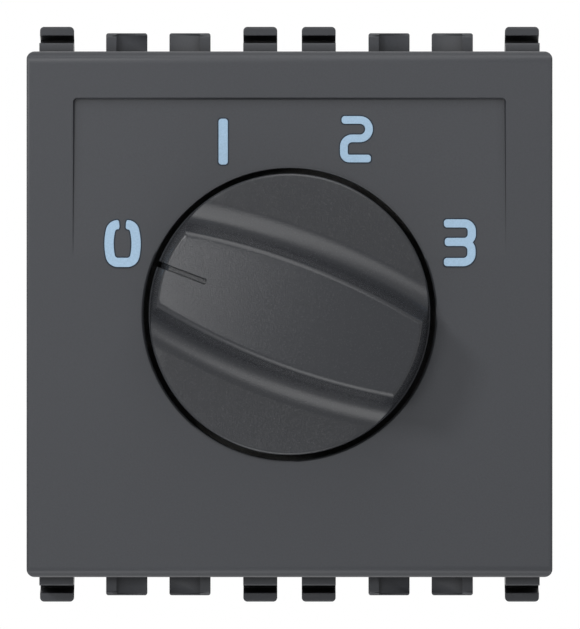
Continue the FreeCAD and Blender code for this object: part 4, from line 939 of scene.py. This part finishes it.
def threaded(node, name, places, radius, tip_y, head_y):
    """A copy of a CAD screw whose plain shank, from tip to head, becomes a threaded one."""
    screw = from_node(node, name, ROUND_SHARP_DEGREES)
    toward_head = math.copysign(1, head_y - tip_y)
    bpy.ops.object.mode_set(mode="EDIT")
    bpy.ops.mesh.select_all(action="SELECT")
    bpy.ops.mesh.bisect(
        plane_co=(0, head_y - toward_head * THREAD_RUNOUT, 0),
        plane_no=(0, toward_head, 0),
        use_fill=True,
        clear_inner=True,
        threshold=WELD,
    )
    bpy.ops.object.mode_set(mode="OBJECT")
    for x, z in places:
        middle = (x, (tip_y + head_y) / 2, z)
        bpy.ops.mesh.primitive_cylinder_add(
            vertices=THREAD_STEPS,
            radius=radius - THREAD_HEIGHT,
            depth=abs(head_y - tip_y),
            location=middle,
            rotation=(math.radians(90), 0, 0),
        )
        core = bpy.context.object
        thread_start = min(tip_y, head_y) + THREAD_RUNOUT
        turns = int((abs(head_y - tip_y) - 2 * THREAD_RUNOUT) / THREAD_PITCH)
        ridge = outline(
            "ridge",
            (radius - THREAD_HEIGHT - HAIR, 0, 0),
            (radius - HAIR / 10, THREAD_PITCH * THREAD_FLANK, 0),
            (radius - HAIR / 10, THREAD_PITCH * (THREAD_FLANK + THREAD_CREST), 0),
            (radius - THREAD_HEIGHT - HAIR, THREAD_PITCH * (2 * THREAD_FLANK + THREAD_CREST), 0),
        )
        bpy.ops.mesh.delete(type="ONLY_FACE")
        bpy.ops.object.mode_set(mode="OBJECT")
        bpy.ops.object.modifier_add(type="SCREW")
        thread = ridge.modifiers[-1]
        thread.axis = "Y"
        thread.screw_offset = THREAD_PITCH
        thread.iterations = turns
        thread.steps = THREAD_STEPS
        thread.render_steps = THREAD_STEPS
        bpy.ops.object.modifier_apply(modifier=thread.name)
        bpy.ops.object.mode_set(mode="EDIT")
        bpy.ops.mesh.select_all(action="SELECT")
        bpy.ops.mesh.fill_holes(sides=0)
        bpy.ops.mesh.select_all(action="SELECT")
        bpy.ops.transform.translate(value=(x, thread_start, z))
        pen_up(ridge)
        core.select_set(True)
        screw.select_set(True)
        bpy.context.view_layer.objects.active = screw
        bpy.ops.object.join()
    return smoothed(screw, ROUND_SHARP_DEGREES)


PLATED_COLOUR = (0.72, 0.72, 0.73)
plated = metal("screw_plated", PLATED_COLOUR, roughness=0.3, feature=0.4 * MM)
lid_low, lid_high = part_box("lid_screws")
lid_x = lid_high.x - LID_HEAD_RADIUS
lid_places = [(-lid_x, lid_x), (lid_x, -lid_x)]
lid_pair = threaded(
    "lid_screws",
    "lid_screw_pair",
    lid_places,
    LID_SCREW_RADIUS,
    tip_y=lid_high.y,
    head_y=lid_low.y + LID_HEAD_HEIGHT,
)
put_on(lid_pair, "insert", plated)
for terminal in TERMINALS:
    node = f"{terminal}_terminal_screw"
    low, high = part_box(node)
    place = ((low.x + high.x) / 2, (low.z + high.z) / 2)
    screw = threaded(
        node,
        f"{terminal}_threaded_screw",
        [place],
        SCREW_RADIUS,
        tip_y=low.y,
        head_y=high.y - SCREW_HEAD_HEIGHT,
    )
    put_on(screw, f"{terminal}_screw", plated)
